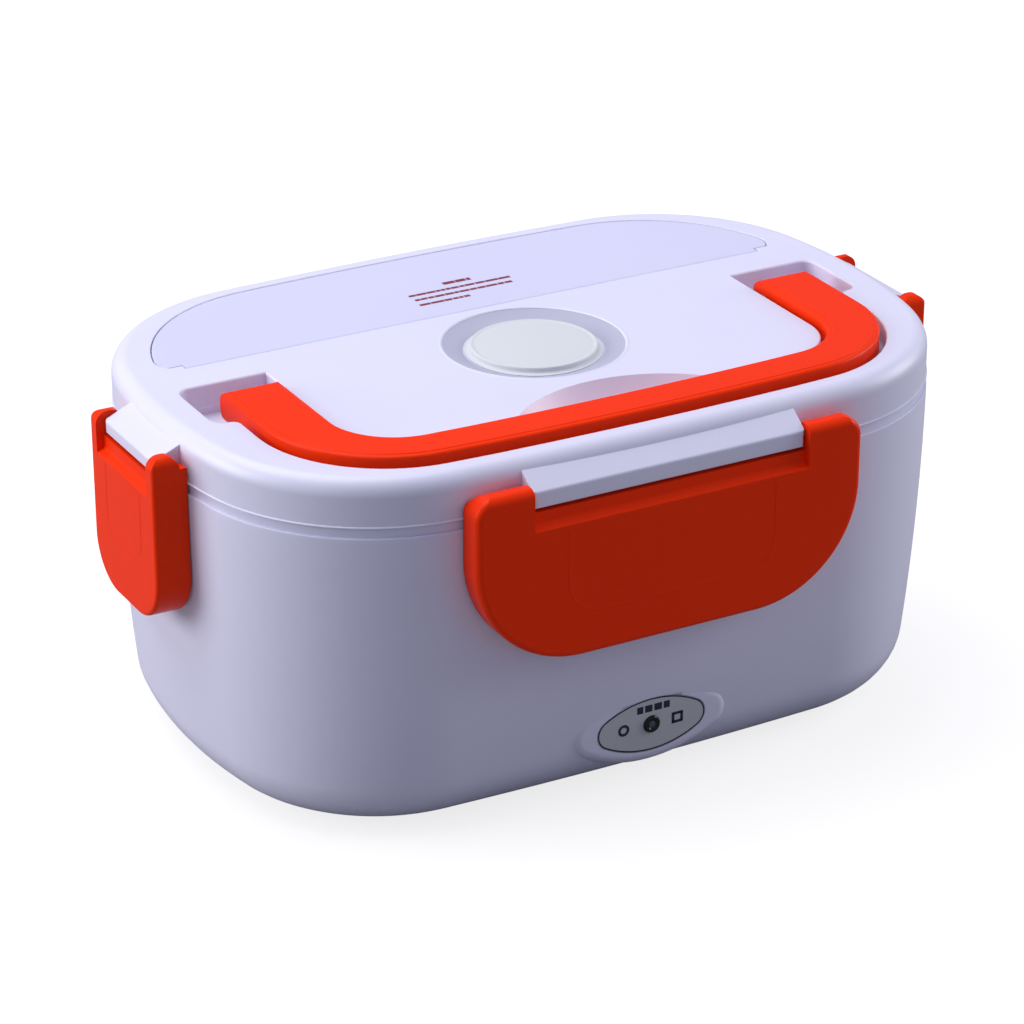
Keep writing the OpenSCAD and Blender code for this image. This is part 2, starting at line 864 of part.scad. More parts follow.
groove_out = 2;
groove_in = 1.5;
groove_z = handle_low - 0.4;
pocket_z = groove_z - 2.2;
pocket_back = 10;
pocket_front = -15.5;
pocket_in = 12;
pocket_r = 3.6;
pocket_blend = 2.8;                             // radius between pocket and groove
island_x = handle_hx - handle_arm - groove_in;

module groove_plan(grow = 0) {
    difference() {
        u_plan(handle_hx + groove_out + grow, handle_reach + groove_out + grow,
               handle_corner_r + groove_out + grow, pocket_back - 2);
        island_plan(-grow);
    }
}

module island_plan(grow = 0) {
    u_plan(island_x + grow, handle_reach - handle_bar - groove_in + grow,
           handle_inner_r - groove_in + grow, pocket_back + 20);
}

// Plan of the two pockets in which the handle's ends turn. The outer corners are round,
// and the front edge runs into the groove in a round of its own.
module pocket_plan(grow = 0) {
    x = body_a - pocket_in + grow;
    low = pocket_front - grow;
    high = pocket_back + grow;
    edge = handle_hx + groove_out + grow;
    r = pocket_blend;
    for (m = [0, 1])
        mirror([m, 0]) {
            translate([island_x - grow, low])
                square([x - pocket_r - island_x + grow, high - low]);
            translate([island_x - grow, low + pocket_r])
                square([x - island_x + grow, high - low - 2 * pocket_r]);
            for (y = [low + pocket_r, high - pocket_r])
                translate([x - pocket_r, y])
                    circle(pocket_r);
            difference() {
                translate([edge - 1, low - r])
                    square([r + 1, r + 0.5]);
                translate([edge + r + 0.05, low - r - 0.05])
                    circle(r);
            }
        }
}

// Plan of the spoon box cover: an outline cut off straight at the front, with round corners.
// d draws the curved side inwards, front is where the straight edge lies.
// The corner circles stand a hair out of the curved side, so that the two arcs cross cleanly.
module crescent(d, front, r) {
    c = [centre_x(HATCH), centre_y(HATCH)];
    reach = hatch_r - d - r + 0.05;
    cy = front + r;
    cx = c[0] + sqrt(reach * reach - pow(cy - c[1], 2));
    join = c[1] + (cy - c[1]) * (hatch_r - d) / reach;
    for (s = [-1, 1])
        translate([s * cx, cy])
            circle(r);
    intersection() {
        oval(HATCH, d);
        union() {
            translate([-cx, front])
                square([2 * cx, 2 * hatch_b]);
            translate([-hatch_a, join])
                square([2 * hatch_a, 2 * hatch_b]);
        }
    }
}

hatch_z = z_top - 0.1 - hatch_t;
hatch_seat = hatch_z - 0.2;
well_in = 2.5;
well_floor = z_seam + 3.1;
hinge_r = 1;
hinge_y = hatch_front + slip + hinge_r;
hinge_z = z_top - 0.1 - hinge_r;
stub_r = 0.6;
hatch_c = [centre_x(HATCH), centre_y(HATCH)];
hatch_corner_x = hatch_c[0]
    + sqrt(pow(hatch_r - hatch_corner_r, 2) - pow(hatch_front + hatch_corner_r - hatch_c[1], 2));
hatch_edge_x = hatch_corner_x - 2;
stub_end = hatch_corner_x + hatch_corner_r;

liner_z = z_seam + 0.6;
gasket_in = ledge_in + slip + 0.3;
gasket_out = gasket_in + 5.4;

plug_seat = z_top - 2.2;
vent_at = [0, -vent_front, 0];

// Clasps, drawn with the pin as origin: [width, width of the hinge bar, lower corner radius,
// upper corner radius, thickness, ear radius, distance of the pin from the wall,
// underside of the bar, top of the bar's front face, drop from the pin to the lower edge]
LONG = [
    long_clasp_w, long_bar_w, long_corner_r, 6, long_t, long_ear_r, long_ear_r + slip, -3.7, 1,
    long_drop
];
END = [
    end_clasp_w, end_bar_w, end_corner_r, 3, end_t, end_ear_r, end_ear_r + slip + end_stand,
    -2.2, 1.4, end_drop
];
function half_w(c) = c[0] / 2;
function bar_w(c) = c[1];
function lower_r(c) = c[2];
function upper_r(c) = c[3];
function face_of(c) = c[4] - c[5];
function ear_of(c) = c[5];
function pin_out(c) = c[6];
function bar_low(c) = c[7];
function bar_edge(c) = c[8];
function drop(c) = c[9];
function pin_margin(c) = upper_r(c) / 2;

pin_z = z_top - pin_depth;
bar_high = 4.4;      // where the bar's sloping top meets the wall
bar_face = 2;

// Places children, drawn for a wall that faces -Y with the pin as origin, at each clasp
module at_front() {
    translate([0, -body_b - pin_out(LONG), pin_z])
        children();
}
module at_back() {
    rotate(180)
        at_front()
            children();
}
module at_left() {
    translate([-body_a - pin_out(END), 0, pin_z])
        rotate(-90)
            children();
}
module at_right() {
    rotate(180)
        at_left()
            children();
}

// Turns a plan shape so that it runs along X: its x becomes Y, its y becomes Z
module along_x(length) {
    translate([-length / 2, 0, 0])
        rotate([90, 0, 90])
            linear_extrude(length)
                children();
}

// Bar on the lid's edge that carries a clasp's pin: its top slopes up to the wall
module hinge_bar(c) {
    small = 0.6;
    big = 1;
    end_r = 1.5;
    f = bar_face;
    low = bar_low(c);
    edge = bar_edge(c);
    back = pin_out(c) + 2;
    rise = (bar_high - edge) / (pin_out(c) + 0.17 + f);
    slope = atan(rise);
    t = big / tan((90 + slope) / 2);
    intersection() {
        along_x(bar_w(c)) {
            polygon([
                [back, low], [-f + small, low], [-f, low + small], [-f, edge - t],
                [-f + t * cos(slope), edge + t * sin(slope)], [back, edge + (back + f) * rise]
            ]);
            translate([-f + small, low + small])
                circle(small, $fn = 32);
            translate([-f + big, edge - t])
                circle(big, $fn = 32);
        }
        translate([0, 0, low - cut])
            linear_extrude(20)
                bar_plan(bar_w(c) / 2, f, back, end_r);
    }
}

// Plan of the bar, with its two outer corners rounded
module bar_plan(half, front, back, r) {
    translate([-half + r, -front - cut])
        square([2 * (half - r), front + back + 2 * cut]);
    translate([-half - cut, -front + r])
        square([2 * (half + cut), front + back]);
    for (s = [-1, 1])
        translate([s * (half - r), -front + r])
            circle(r, $fn = 32);
}

lid_section = concat(
    [[shut, z_seam]],
    [[0, z_seam + 0.4]],
    bend([lid_edge_r, z_top - lid_edge_r], lid_edge_r, 180, 90, 6)
);

module lid_cover() {
    color("white")
        difference() {
            union() {
                difference() {
                    loft(lid_section);
                    translate([0, 0, z_seam - cut])
                        linear_extrude(z_under - z_seam + cut)
                            oval(BODY, lid_wall);
                }
                lid_wells();
                at_front()
                    hinge_bar(LONG);
                at_back()
                    hinge_bar(LONG);
                at_left()
                    hinge_bar(END);
                at_right()
                    hinge_bar(END);
            }
            lid_cuts();
        }
}

// Walls and floors of the wells, before they are hollowed
module lid_wells() {
    translate([0, 0, groove_z - well_wall])
        linear_extrude(z_under - groove_z + well_wall + 0.5)
            groove_plan(well_wall);
    translate([0, 0, pocket_z - well_wall])
        linear_extrude(z_under - pocket_z + well_wall + 0.5)
            pocket_plan(well_wall);
    translate([0, 0, well_floor - liner_t])
        linear_extrude(z_under - well_floor + liner_t + 0.5)
            crescent(well_in - well_wall, hatch_front - well_wall, hatch_corner_r);
    translate([0, 0, hatch_seat - well_wall])
        linear_extrude(z_under - hatch_seat + well_wall + 0.5)
            crescent(-slip - well_wall, hatch_front - well_wall, hatch_corner_r + well_wall);
    finger_scoop(well_wall);
    translate(vent_at)
        translate([0, 0, plug_seat - 2])
            cylinder(r = vent_ring_r + well_wall, h = z_under - plug_seat + 2.5);
    mirrored()
        translate([island_x - 8, pivot_y - 4, pivot_z - 4])
            cube([8, 8, z_under - pivot_z + 4.5]);
    mirrored()
        translate([stub_end - 6, hinge_y - 2.5, hinge_z - 2.6])
            cube([8, 5, 3]);
}

module lid_cuts() {
    translate([0, 0, groove_z])
        linear_extrude(20)
            groove_plan();
    translate([0, 0, pocket_z])
        linear_extrude(20)
            pocket_plan();
    difference() {
        union() {
            translate([0, 0, hatch_seat])
                linear_extrude(20)
                    crescent(-slip, hatch_front, hatch_corner_r + slip);
            translate([0, 0, well_floor])
                linear_extrude(20)
                    crescent(well_in, hatch_front, hatch_corner_r);
        }
        // blocks at both ends of the cover's hinge, for its stubs
        mirrored()
            translate([hatch_corner_x + 1 + slip, hatch_front - cut, hatch_seat - 2])
                cube([hatch_corner_r + 2, hinge_y + 0.9 - hatch_front + cut, hatch_t + 2.2]);
    }
    translate(vent_at) {
        translate([0, 0, plug_seat])
            cylinder(r1 = vent_disc_r + 0.8, r2 = vent_ring_r, h = z_top - plug_seat + 0.001);
        translate([0, 0, z_seam])
            cylinder(r = vent_hole_r, h = 20);
    }
    finger_scoop();
    at_front()
        pin_bore(bar_w(LONG));
    at_back()
        pin_bore(bar_w(LONG));
    at_left()
        pin_bore(bar_w(END));
    at_right()
        pin_bore(bar_w(END));
    mirrored()
        translate([island_x - 6, pivot_y, pivot_z])
            rotate([0, 90, 0])
                cylinder(d = handle_pin_d, h = 6 + cut, $fn = 32);
    mirrored()
        translate([hatch_corner_x, hinge_y, hinge_z])
            rotate([0, 90, 0])
                cylinder(r = stub_r + run, h = stub_end + slip - hatch_corner_x, $fn = 32);
}

module pin_bore(w) {
    translate([-w / 2 - cut, 0, 0])
        rotate([0, 90, 0])
            cylinder(d = clasp_pin_d, h = w + 2 * cut, $fn = 32);
}

// Dish in front of the steam plug, for fingers to reach under the bar
scoop_r = 42;
scoop_ball = 50;
scoop_back = 13.8;       // how far it reaches behind the groove
module finger_scoop(grow = 0) {
    groove_y = -handle_reach + handle_bar + groove_in;
    deep = 6 + grow;
    high = grow > 0 ? z_under + 0.5 : z_top + 4;
    intersection() {
        translate([
            0, groove_y + scoop_back - scoop_r, z_top + sqrt(pow(scoop_ball, 2) - pow(scoop_r, 2))
        ])
            sphere(scoop_ball + grow, $fn = 180);
        translate([-scoop_r, groove_y - 0.5, z_top - deep])
            cube([2 * scoop_r, scoop_back + 4, high - z_top + deep]);
    }
}

module lid_liner() {
    color("whitesmoke")
        difference() {
            union() {
                translate([0, 0, liner_z])
                    linear_extrude(liner_t)
                        oval(BODY, lid_wall);
                translate([0, 0, z_seam])
                    linear_extrude(liner_z - z_seam + 0.2)
                        ring_plan(gasket_in - shut - 1, gasket_in - shut);
                translate([0, 0, z_seam - 0.7])
                    linear_extrude(liner_z - z_seam + 0.9)
                        ring_plan(gasket_out + shut, gasket_out + shut + 1.2);
            }
            translate(vent_at)
                translate([0, 0, liner_z - cut])
                    cylinder(r = vent_hole_r, h = liner_t + 2 * cut);
        }
}

module ring_plan(outer, inner) {
    difference() {
        oval(BODY, outer);
        oval(BODY, inner);
    }
}

module lid_gasket() {
    low = rim_z + rim_t + slip;
    color("lightgray")
        translate([0, 0, low])
            linear_extrude(liner_z - low)
                ring_plan(gasket_in, gasket_out);
}

module clasp_pin(c) {
    half = half_w(c) - pin_margin(c);
    translate([-half, 0, 0])
        rotate([0, 90, 0])
            cylinder(d = clasp_pin_d, h = 2 * half, $fn = 32);
}

module clasp_pins() {
    color("silver") {
        at_front()
            clasp_pin(LONG);
        at_back()
            clasp_pin(LONG);
        at_left()
            clasp_pin(END);
        at_right()
            clasp_pin(END);
    }
}

module handle_pins() {
    color("silver")
        mirrored()
            translate([island_x - 6, pivot_y, pivot_z])
                rotate([0, 90, 0])
                    cylinder(d = handle_pin_d, h = 6 + groove_in + handle_arm - 2, $fn = 32);
}

spoon_r = 17;
spoon_ball = 32;
spoon_t = 1.2;
spoon_y = hatch_front + 21;
stem_w = 9;
stem_t = 2;

// Soup spoon with a round bowl and a flat stem
module spoon() {
    tip = spoon_ball - sqrt(pow(spoon_ball, 2) - pow(spoon_r, 2));
    stem_l = spoon_l - 2 * spoon_r - stem_w / 2;
    color("silver")
        translate([spoon_r - spoon_l / 2, spoon_y, well_floor + 0.2]) {
            difference() {
                intersection() {
                    cylinder(r = spoon_r, h = tip + spoon_t);
                    translate([0, 0, spoon_ball])
                        sphere(spoon_ball, $fn = 128);
                }
                translate([0, 0, spoon_ball + spoon_t])
                    sphere(spoon_ball, $fn = 128);
            }
            translate([spoon_r - 1.5, -stem_w / 2, tip - 1])
                cube([stem_l + 1.5, stem_w, stem_t]);
            translate([spoon_r + stem_l, 0, tip - 1])
                cylinder(r = stem_w / 2, h = stem_t);
        }
}

// Cover of the spoon box, hinged on two stubs at the ends of its straight edge
module spoon_box_cover() {
    color("lavender") {
        difference() {
            translate([0, 0, hatch_z])
                linear_extrude(hatch_t)
                    crescent(0, hatch_front + slip, hatch_corner_r);
            translate([-hatch_a, hatch_front, hatch_z - cut])
                cube([2 * hatch_a, hinge_y - hatch_front, hatch_t + 2 * cut]);
            // corners that would turn into the lid
            mirrored()
                translate([hatch_corner_x + 1, hatch_front, hatch_z - cut])
                    cube([hatch_corner_r, hinge_y + 1.5 - hatch_front, hatch_t + 2 * cut]);
        }
        translate([-hatch_edge_x, hinge_y, hinge_z])
            rotate([0, 90, 0])
                cylinder(r = hinge_r, h = 2 * hatch_edge_x, $fn = 32);
        mirrored()
            translate([hatch_edge_x - 1, hinge_y, hinge_z])
                rotate([0, 90, 0])
                    cylinder(r = stub_r, h = stub_end - hatch_edge_x + 1, $fn = 32);
    }
}

module steam_plug() {
    dome = 300;
    color("whitesmoke")
        translate(vent_at) {
            intersection() {
                translate([0, 0, plug_seat + shut])
                    cylinder(r = vent_disc_r, h = z_top - plug_seat + 1);
                translate([0, 0, z_top + 0.3 - dome])
                    sphere(dome, $fn = 256);
            }
            translate([0, 0, liner_z + liner_t / 2])
                cylinder(r = vent_hole_r - slip, h = plug_seat - liner_z);
        }
}

module carry_handle() {
    color("orangered")
        difference() {
            intersection() {
                translate([0, 0, handle_low])
                    linear_extrude(handle_t)
                        difference() {
                            u_plan(handle_hx, handle_reach, handle_corner_r, handle_back);
                            u_plan(handle_hx - handle_arm, handle_reach - handle_bar,
                                   handle_inner_r, handle_back + cut);
                        }
                along_x(handle_w + 2)
                    handle_side();
            }
            mirrored()
                translate([handle_hx - handle_arm - cut, pivot_y, pivot_z])
                    rotate([0, 90, 0])
                        cylinder(r = handle_pin_d / 2 + run, h = handle_arm - 2 + slip + cut, $fn = 32);
        }
}

// Side view of the handle, with its back end rounded to swing in the pocket
module handle_side() {
    r = 3.4;
    translate([-handle_reach - 5, handle_low])
        square([handle_reach + 5 + handle_back - r, handle_t]);
    translate([handle_back - r - 1, handle_low + r])
        square([r + 1, handle_t - 2 * r]);
    for (z = [handle_low + r, handle_top - r])
        translate([handle_back - r, z])
            circle(r, $fn = 32);
}

// ---- Clasps ----

skin = 2.4;
step_in = 2;
hook_t = 2.4;
hook_gap = 0.2;                                 // between hook and bead
hook_top = bead_top - bead_h - 0.5 - pin_z;
function notch_low(c) = bar_low(c) - 1;
function step_low(c) = notch_low(c) - 3.8;

// Clasp with its pin as origin: -Y is out, -Z is down
module clasp(c) {
    room = bar_w(c) + 2 * slip;
    difference() {
        intersection() {
            along_x(2 * half_w(c))
                clasp_side(c);
            clasp_front(half_w(c), lower_r(c), upper_r(c), ear_of(c), drop(c));
        }
        // room for the hinge bar
        translate([-room / 2, -20, notch_low(c)])
            cube([room, 40, 20]);
        // step under the bar
        translate([-room / 2, -20, step_low(c)])
            cube([room, 20 - face_of(c) + step_in, 10]);
        // hollow back, open towards the wall
        clasp_hollow(c);
        bead_room(c);
        // pin bore in both ears
        translate([-half_w(c) + pin_margin(c) - slip, 0, 0])
            rotate([0, 90, 0])
                cylinder(
                    r = clasp_pin_d / 2 + run, h = 2 * (half_w(c) - pin_margin(c) + slip), $fn = 32
                );
    }
    hook(c);
}

// Room in the clasp's lower edge for the catch bead, when a closed clasp is lifted past it
module bead_room(c) {
    w = bar_w(c) - 6;
    translate([-w / 2, pin_out(c) - bead_out - slip, -drop(c) - cut])
        cube([w, 20, 8 + cut]);
}

// Side view: straight front with a round top, x out towards -Y. The back runs on past the wall.
module clasp_side(c) {
    r = ear_of(c);
    f = face_of(c);
    translate([-f, -drop(c)])
        square([f + pin_out(c) + 3, drop(c)]);
    circle(r);
    translate([-f + r, 0])
        circle(r);
    translate([-f + r, 0])
        square([f - r, r]);
}

module clasp_front(half, corner, top_r, ear, low) {
    upright(-20, 20) {
        translate([-half, -low + corner])
            square([2 * half, low - corner + ear - top_r]);
        translate([-half + corner, -low])
            square([2 * (half - corner), low]);
        translate([-half + top_r, -low + corner])
            square([2 * (half - top_r), low - corner + ear]);
        for (s = [-1, 1]) {
            translate([s * (half - corner), -low + corner])
                circle(corner);
            translate([s * (half - top_r), ear - top_r])
                circle(top_r);
        }
    }
}

module clasp_hollow(c) {
    half = half_w(c);
    corner = lower_r(c);
    top = step_low(c) - 1.6;
    translate([0, -face_of(c) + skin, 0])
        intersection() {
            translate([0, 20, 0])
                upright(-20, 20) {
                    translate([-half + skin, -drop(c) + corner])
                        square([2 * (half - skin), top + drop(c) - corner + 1]);
                    translate([-half + corner, -drop(c) + skin])
                        square([2 * (half - corner), top + drop(c) - skin + 1]);
                    for (s = [-1, 1])
                        translate([s * (half - corner), -drop(c) + corner])
                            circle(corner - skin);
                }
            translate([-half, 0, -2 * drop(c)])
                cube([2 * half, 20, 2 * drop(c) + top]);
        }
}

// Lip inside the clasp that lies under the catch bead
module hook(c) {
    w = bar_w(c) - 10;
    back = pin_out(c) - bead_out - hook_gap;
    front = face_of(c) - skin + 0.5;
    translate([-w / 2, -front, hook_top - hook_t])
        cube([w, front + back, hook_t]);
}

// Cuts the back of a placed clasp to the body's outline
module off_the_wall() {
    difference() {
        children();
        translate([0, 0, z_base])
            linear_extrude(z_top)
                oval(BODY, -slip);
    }
}

module front_clasp() {
    color("orangered")
        off_the_wall()
            at_front()
                clasp(LONG);
}

module back_clasp() {
    color("orangered")
        off_the_wall()
            at_back()
                clasp(LONG);
}

module left_clasp() {
    color("orangered")
        off_the_wall()
            at_left()
                clasp(END);
}

module right_clasp() {
    color("orangered")
        off_the_wall()
            at_right()
                clasp(END);
}

outer_shell();
inner_chamber();
bottom_cover();
rubber_feet();
cover_screws();
heating_plate();
ptc_heater();
mica_pads();
heater_clamps();
clamp_screws();
thermal_cutoff();
power_inlet();
inlet_pins();
heater_leads();
lamp_leads();
lamp_board();
lamp_led();
lamp_lens();
lamp_label();
food_tray();
side_dish_box();
side_dish_lid();
lid_cover();
lid_liner();
lid_gasket();
clasp_pins();
handle_pins();
spoon();
spoon_box_cover();
steam_plug();
carry_handle();
front_clasp();
back_clasp();
left_clasp();
right_clasp();
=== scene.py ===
# %% [markdown]
# # A heated lunch box with snap clasps and a folding handle
# The construction model already holds every piece at its real size. Here the pieces that show
# get soft moulded edges and a finish, and the whole box gets a floor, light and a camera.
# Everything is in metres in the frame of the construction model, so nothing needs fitting:
# X runs along the box, the front faces -Y and Z is up.

# %% Load the construction model
import json
import math
import random

import bmesh
import bpy
from mathutils import Matrix, Vector

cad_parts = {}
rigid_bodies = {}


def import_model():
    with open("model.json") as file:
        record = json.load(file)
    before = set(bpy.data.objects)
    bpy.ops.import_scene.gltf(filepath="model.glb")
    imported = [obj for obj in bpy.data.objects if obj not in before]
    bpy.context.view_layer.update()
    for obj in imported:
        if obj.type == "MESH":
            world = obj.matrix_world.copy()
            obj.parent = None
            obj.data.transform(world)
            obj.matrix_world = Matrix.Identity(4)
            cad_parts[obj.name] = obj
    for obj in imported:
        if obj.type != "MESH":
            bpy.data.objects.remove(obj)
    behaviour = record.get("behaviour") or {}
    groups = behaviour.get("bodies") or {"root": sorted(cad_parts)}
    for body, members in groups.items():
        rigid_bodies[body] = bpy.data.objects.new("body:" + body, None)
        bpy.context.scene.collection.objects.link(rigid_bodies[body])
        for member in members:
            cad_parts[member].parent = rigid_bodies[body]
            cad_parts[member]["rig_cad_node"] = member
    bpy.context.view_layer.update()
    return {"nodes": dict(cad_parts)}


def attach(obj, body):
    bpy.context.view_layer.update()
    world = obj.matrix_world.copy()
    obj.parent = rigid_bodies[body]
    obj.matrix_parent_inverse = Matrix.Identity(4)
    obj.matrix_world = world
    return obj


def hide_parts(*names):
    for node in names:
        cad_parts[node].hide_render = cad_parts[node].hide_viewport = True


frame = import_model()
nodes = frame["nodes"]

# %% [markdown]
# ## Sizes
# These are the box's main sizes in millimetres. The outline of the box is not a plain rounded
# rectangle: each side is a very flat arc, and a corner arc joins two of them without a kink.
# Keeping the numbers of all three arcs lets every wall, rim and step follow the same line.

# %% Sizes of the box
MM = 0.001
BODY = (113.0, 75.7, 54.0)        # half length, half width, corner radius
COVER = (101.0, 68.0, 46.0)       # the same for the line that the spoon cover's back follows
END_BOW, SIDE_BOW = 11.3, 2.5     # half angles of the arcs that bow the ends and the sides
Z_BASE, Z_BAND, Z_SEAM, Z_TOP = 1.5, 91.6, 94.3, 107.5
WALL_CURVE = 800.0                # radius that draws the wall in towards the bottom
BOTTOM_R = 16.0
SHELL_WALL = 2.4
print("lid seam at", Z_SEAM, "mm, top of the lid at", Z_TOP, "mm")

# %% [markdown]
# ## Outlines
# A plan outline is a closed list of points. Two makers are enough: one for the bowed outline of
# the box, and one that rounds the corners of any polygon with a true fillet. A third function
# moves an outline inwards or outwards, and that is what turns a flat shape into rounded edges.


# %% Arcs and bowed outlines
def arc(cx, cy, r, start, end, steps):
    """Points of an arc, both ends included, with angles in degrees."""
    angles = [math.radians(start + (end - start) * i / steps) for i in range(steps + 1)]
    return [(cx + r * math.cos(t), cy + r * math.sin(t)) for t in angles]


def bow(sizes):
    """Corner arc's centre, and how far the end and side arcs' centres lie beyond it."""
    a, b, r = sizes
    e, s = math.radians(END_BOW), math.radians(SIDE_BOW)
    det = (1 - math.cos(e)) * (1 - math.cos(s)) - math.sin(e) * math.sin(s)
    end_gap = ((a - r) * (1 - math.cos(s)) - (b - r) * math.sin(s)) / det
    side_gap = ((b - r) * (1 - math.cos(e)) - (a - r) * math.sin(e)) / det
    return side_gap * math.sin(s), end_gap * math.sin(e), end_gap, side_gap


def bowed_outline(sizes, inset=0.0, corner_steps=36, bow_steps=12):
    """Closed outline of end arcs, side arcs and corner arcs that meet in tangents."""
    a, b, r = sizes
    cx, cy, end_gap, side_gap = bow(sizes)
    points = []
    for turn, s in ((0, 1), (180, -1)):
        points += arc(s * (a - r - end_gap), 0, r + end_gap - inset,
                      turn - END_BOW, turn + END_BOW, bow_steps)[:-1]
        points += arc(s * cx, s * cy, r - inset, turn + END_BOW, turn + 90 - SIDE_BOW,
                      corner_steps)[:-1]
        points += arc(0, s * (b - r - side_gap), r + side_gap - inset,
                      turn + 90 - SIDE_BOW, turn + 90 + SIDE_BOW, bow_steps)[:-1]
        points += arc(-s * cx, s * cy, r - inset, turn + 90 + SIDE_BOW, turn + 180 - END_BOW,
                      corner_steps)[:-1]
    return points


rim = bowed_outline(BODY)
print("rim outline:", len(rim), "points, length", round(max(x for x, y in rim) * 2, 1), "mm")


# %% Rounded polygons and offsets
def rounded(corners, steps=8):
    """Closed outline from (x, y, radius) corners; radius 0 keeps the corner sharp."""
    points, n = [], len(corners)
    for i, (x, y, r) in enumerate(corners):
        if r == 0:
            points.append((x, y))
            continue
        here = Vector((x, y))
        to_last = (Vector(corners[i - 1][:2]) - here).normalized()
        to_next = (Vector(corners[(i + 1) % n][:2]) - here).normalized()
        half = to_last.angle(to_next) / 2
        centre = here + (to_last + to_next).normalized() * r / math.sin(half)
        start = here + to_last * r / math.tan(half) - centre
        end = here + to_next * r / math.tan(half) - centre
        a0 = math.atan2(start.y, start.x)
        turn = math.remainder(math.atan2(end.y, end.x) - a0, 2 * math.pi)
        points += [(centre.x + r * math.cos(a0 + turn * k / steps),
                    centre.y + r * math.sin(a0 + turn * k / steps)) for k in range(steps + 1)]
    return points


def grown(outline, distance):
    """The outline moved outwards by a distance, for an outline that runs anticlockwise."""
    points, n = [], len(outline)
    for i, (x, y) in enumerate(outline):
        before, after = outline[i - 1], outline[(i + 1) % n]
        u = Vector((x - before[0], y - before[1])).normalized()
        v = Vector((after[0] - x, after[1] - y)).normalized()
        normal = Vector((u.y + v.y, -u.x - v.x)).normalized()
        stretch = max(normal.dot(Vector((u.y, -u.x))), 0.5)
        points.append((x + normal.x * distance / stretch, y + normal.y * distance / stretch))
    return points


def rectangle(x0, x1, y0, y1, r=0.0, steps=8):
    """Rectangle with one corner radius, from the lower left corner on."""
    return rounded([(x0, y0, r), (x1, y0, r), (x1, y1, r), (x0, y1, r)], steps)


print("a 10 mm square grown by 1:", grown(rectangle(0, 10, 0, 10), 1)[0])

# %% [markdown]
# ## Meshes
# Most pieces here are lofts: the same outline repeated at several heights, each copy a little
# larger or smaller, with quads between them. A rounded edge is then just a few copies that
# follow a quarter circle. Openings are cut with exact booleans, whose cutters are lofts too and
# flare out at the top, so a cut edge comes out rounded without a bevel that could run wild.


# %% Building and finishing a mesh
WELD = 1e-7                       # in metres: points closer than this become one


def piece(name, points, faces, body, material):
    """A mesh object from millimetre points that rides on one moving body."""
    mesh = bpy.data.meshes.new(name)
    mesh.from_pydata([(x * MM, y * MM, z * MM) for x, y, z in points], [], faces)
    tidy = bmesh.new()
    tidy.from_mesh(mesh)
    bmesh.ops.remove_doubles(tidy, verts=tidy.verts, dist=WELD)
    bmesh.ops.recalc_face_normals(tidy, faces=tidy.faces)
    tidy.to_mesh(mesh)
    tidy.free()
    obj = bpy.data.objects.new(name, mesh)
    bpy.context.scene.collection.objects.link(obj)
    if material:
        mesh.materials.append(material)
    if body:
        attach(obj, body)
    return obj


def loft(name, rings, body=None, material=None, closed=False):
    """Skin over rings of equal point counts; a closed section has no caps."""
    n, m = len(rings[0]), len(rings)
    points = [p for ring in rings for p in ring]
    faces = [(j * n + i, j * n + (i + 1) % n, (j + 1) % m * n + (i + 1) % n, (j + 1) % m * n + i)
             for j in range(m if closed else m - 1) for i in range(n)]
    if not closed:
        faces += [tuple(range(n)), tuple(range((m - 1) * n, m * n))]
    return piece(name, points, faces, body, material)


def apply(obj, kind, **settings):
    """Adds a modifier, keeps its result as the mesh and drops the modifier."""
    modifier = obj.modifiers.new(kind.lower(), kind)
    for key, value in settings.items():
        setattr(modifier, key, value)
    graph = bpy.context.evaluated_depsgraph_get()
    mesh = bpy.data.meshes.new_from_object(obj.evaluated_get(graph))
    obj.modifiers.clear()
    obj.data = mesh
    return obj


def cut(obj, cutter, operation="DIFFERENCE"):
    """One exact boolean; the cutter is used up."""
    bpy.context.view_layer.update()
    apply(obj, "BOOLEAN", object=cutter, operation=operation, solver="EXACT")
    bpy.data.objects.remove(cutter)


def soften(obj, angle=32):
    """Smooth shading that keeps flat faces flat and edges over the angle sharp."""
    for polygon in obj.data.polygons:
        polygon.use_smooth = True
    obj.data.set_sharp_from_angle(angle=math.radians(angle))
    return apply(obj, "WEIGHTED_NORMAL", weight=80, keep_sharp=True)


print("mesh helpers ready")


# %% Prisms with rounded edges, and lathe work
OVER = 4.0                        # how far a pocket's cutter reaches above the surface


def as_drawn(x, y, z):
    """The place of a drawing that needs no moving."""
    return (x, y, z)


def quarter(r, steps=4):
    """Steps of a quarter circle as (inset, rise): from (0, 0) to (r, r)."""
    angles = [math.pi / 2 * i / steps for i in range(steps + 1)]
    return [(r - r * math.cos(t), r * math.sin(t)) for t in angles]


def lower_edge(z, r):
    """Rounded lower edge at a height, as (inset, height) from the bottom up; r may be 0."""
    return [(d, z + r - rise) for d, rise in reversed(quarter(r))] if r else [(0, z)]


def upper_edge(z, r, inset=0.0, steps=4):
    """The same for an upper edge, which may stand in by an inset."""
    return [(inset + d, z - r + rise) for d, rise in quarter(r, steps)] if r else [(inset, z)]


def stacked(outline, section, place=as_drawn):
    """Rings for a loft: the outline set in by d at each height z of the section."""
    return [[place(x, y, z) for x, y in grown(outline, -d)] for d, z in section]


def prism(name, outline, low, high, body=None, material=None, low_r=0.0, high_r=0.0,
          place=as_drawn):
    """Outline drawn up from low to high, with its two edges rounded."""
    section = lower_edge(low, low_r) + upper_edge(high, high_r)
    return loft(name, stacked(outline, section, place), body, material)


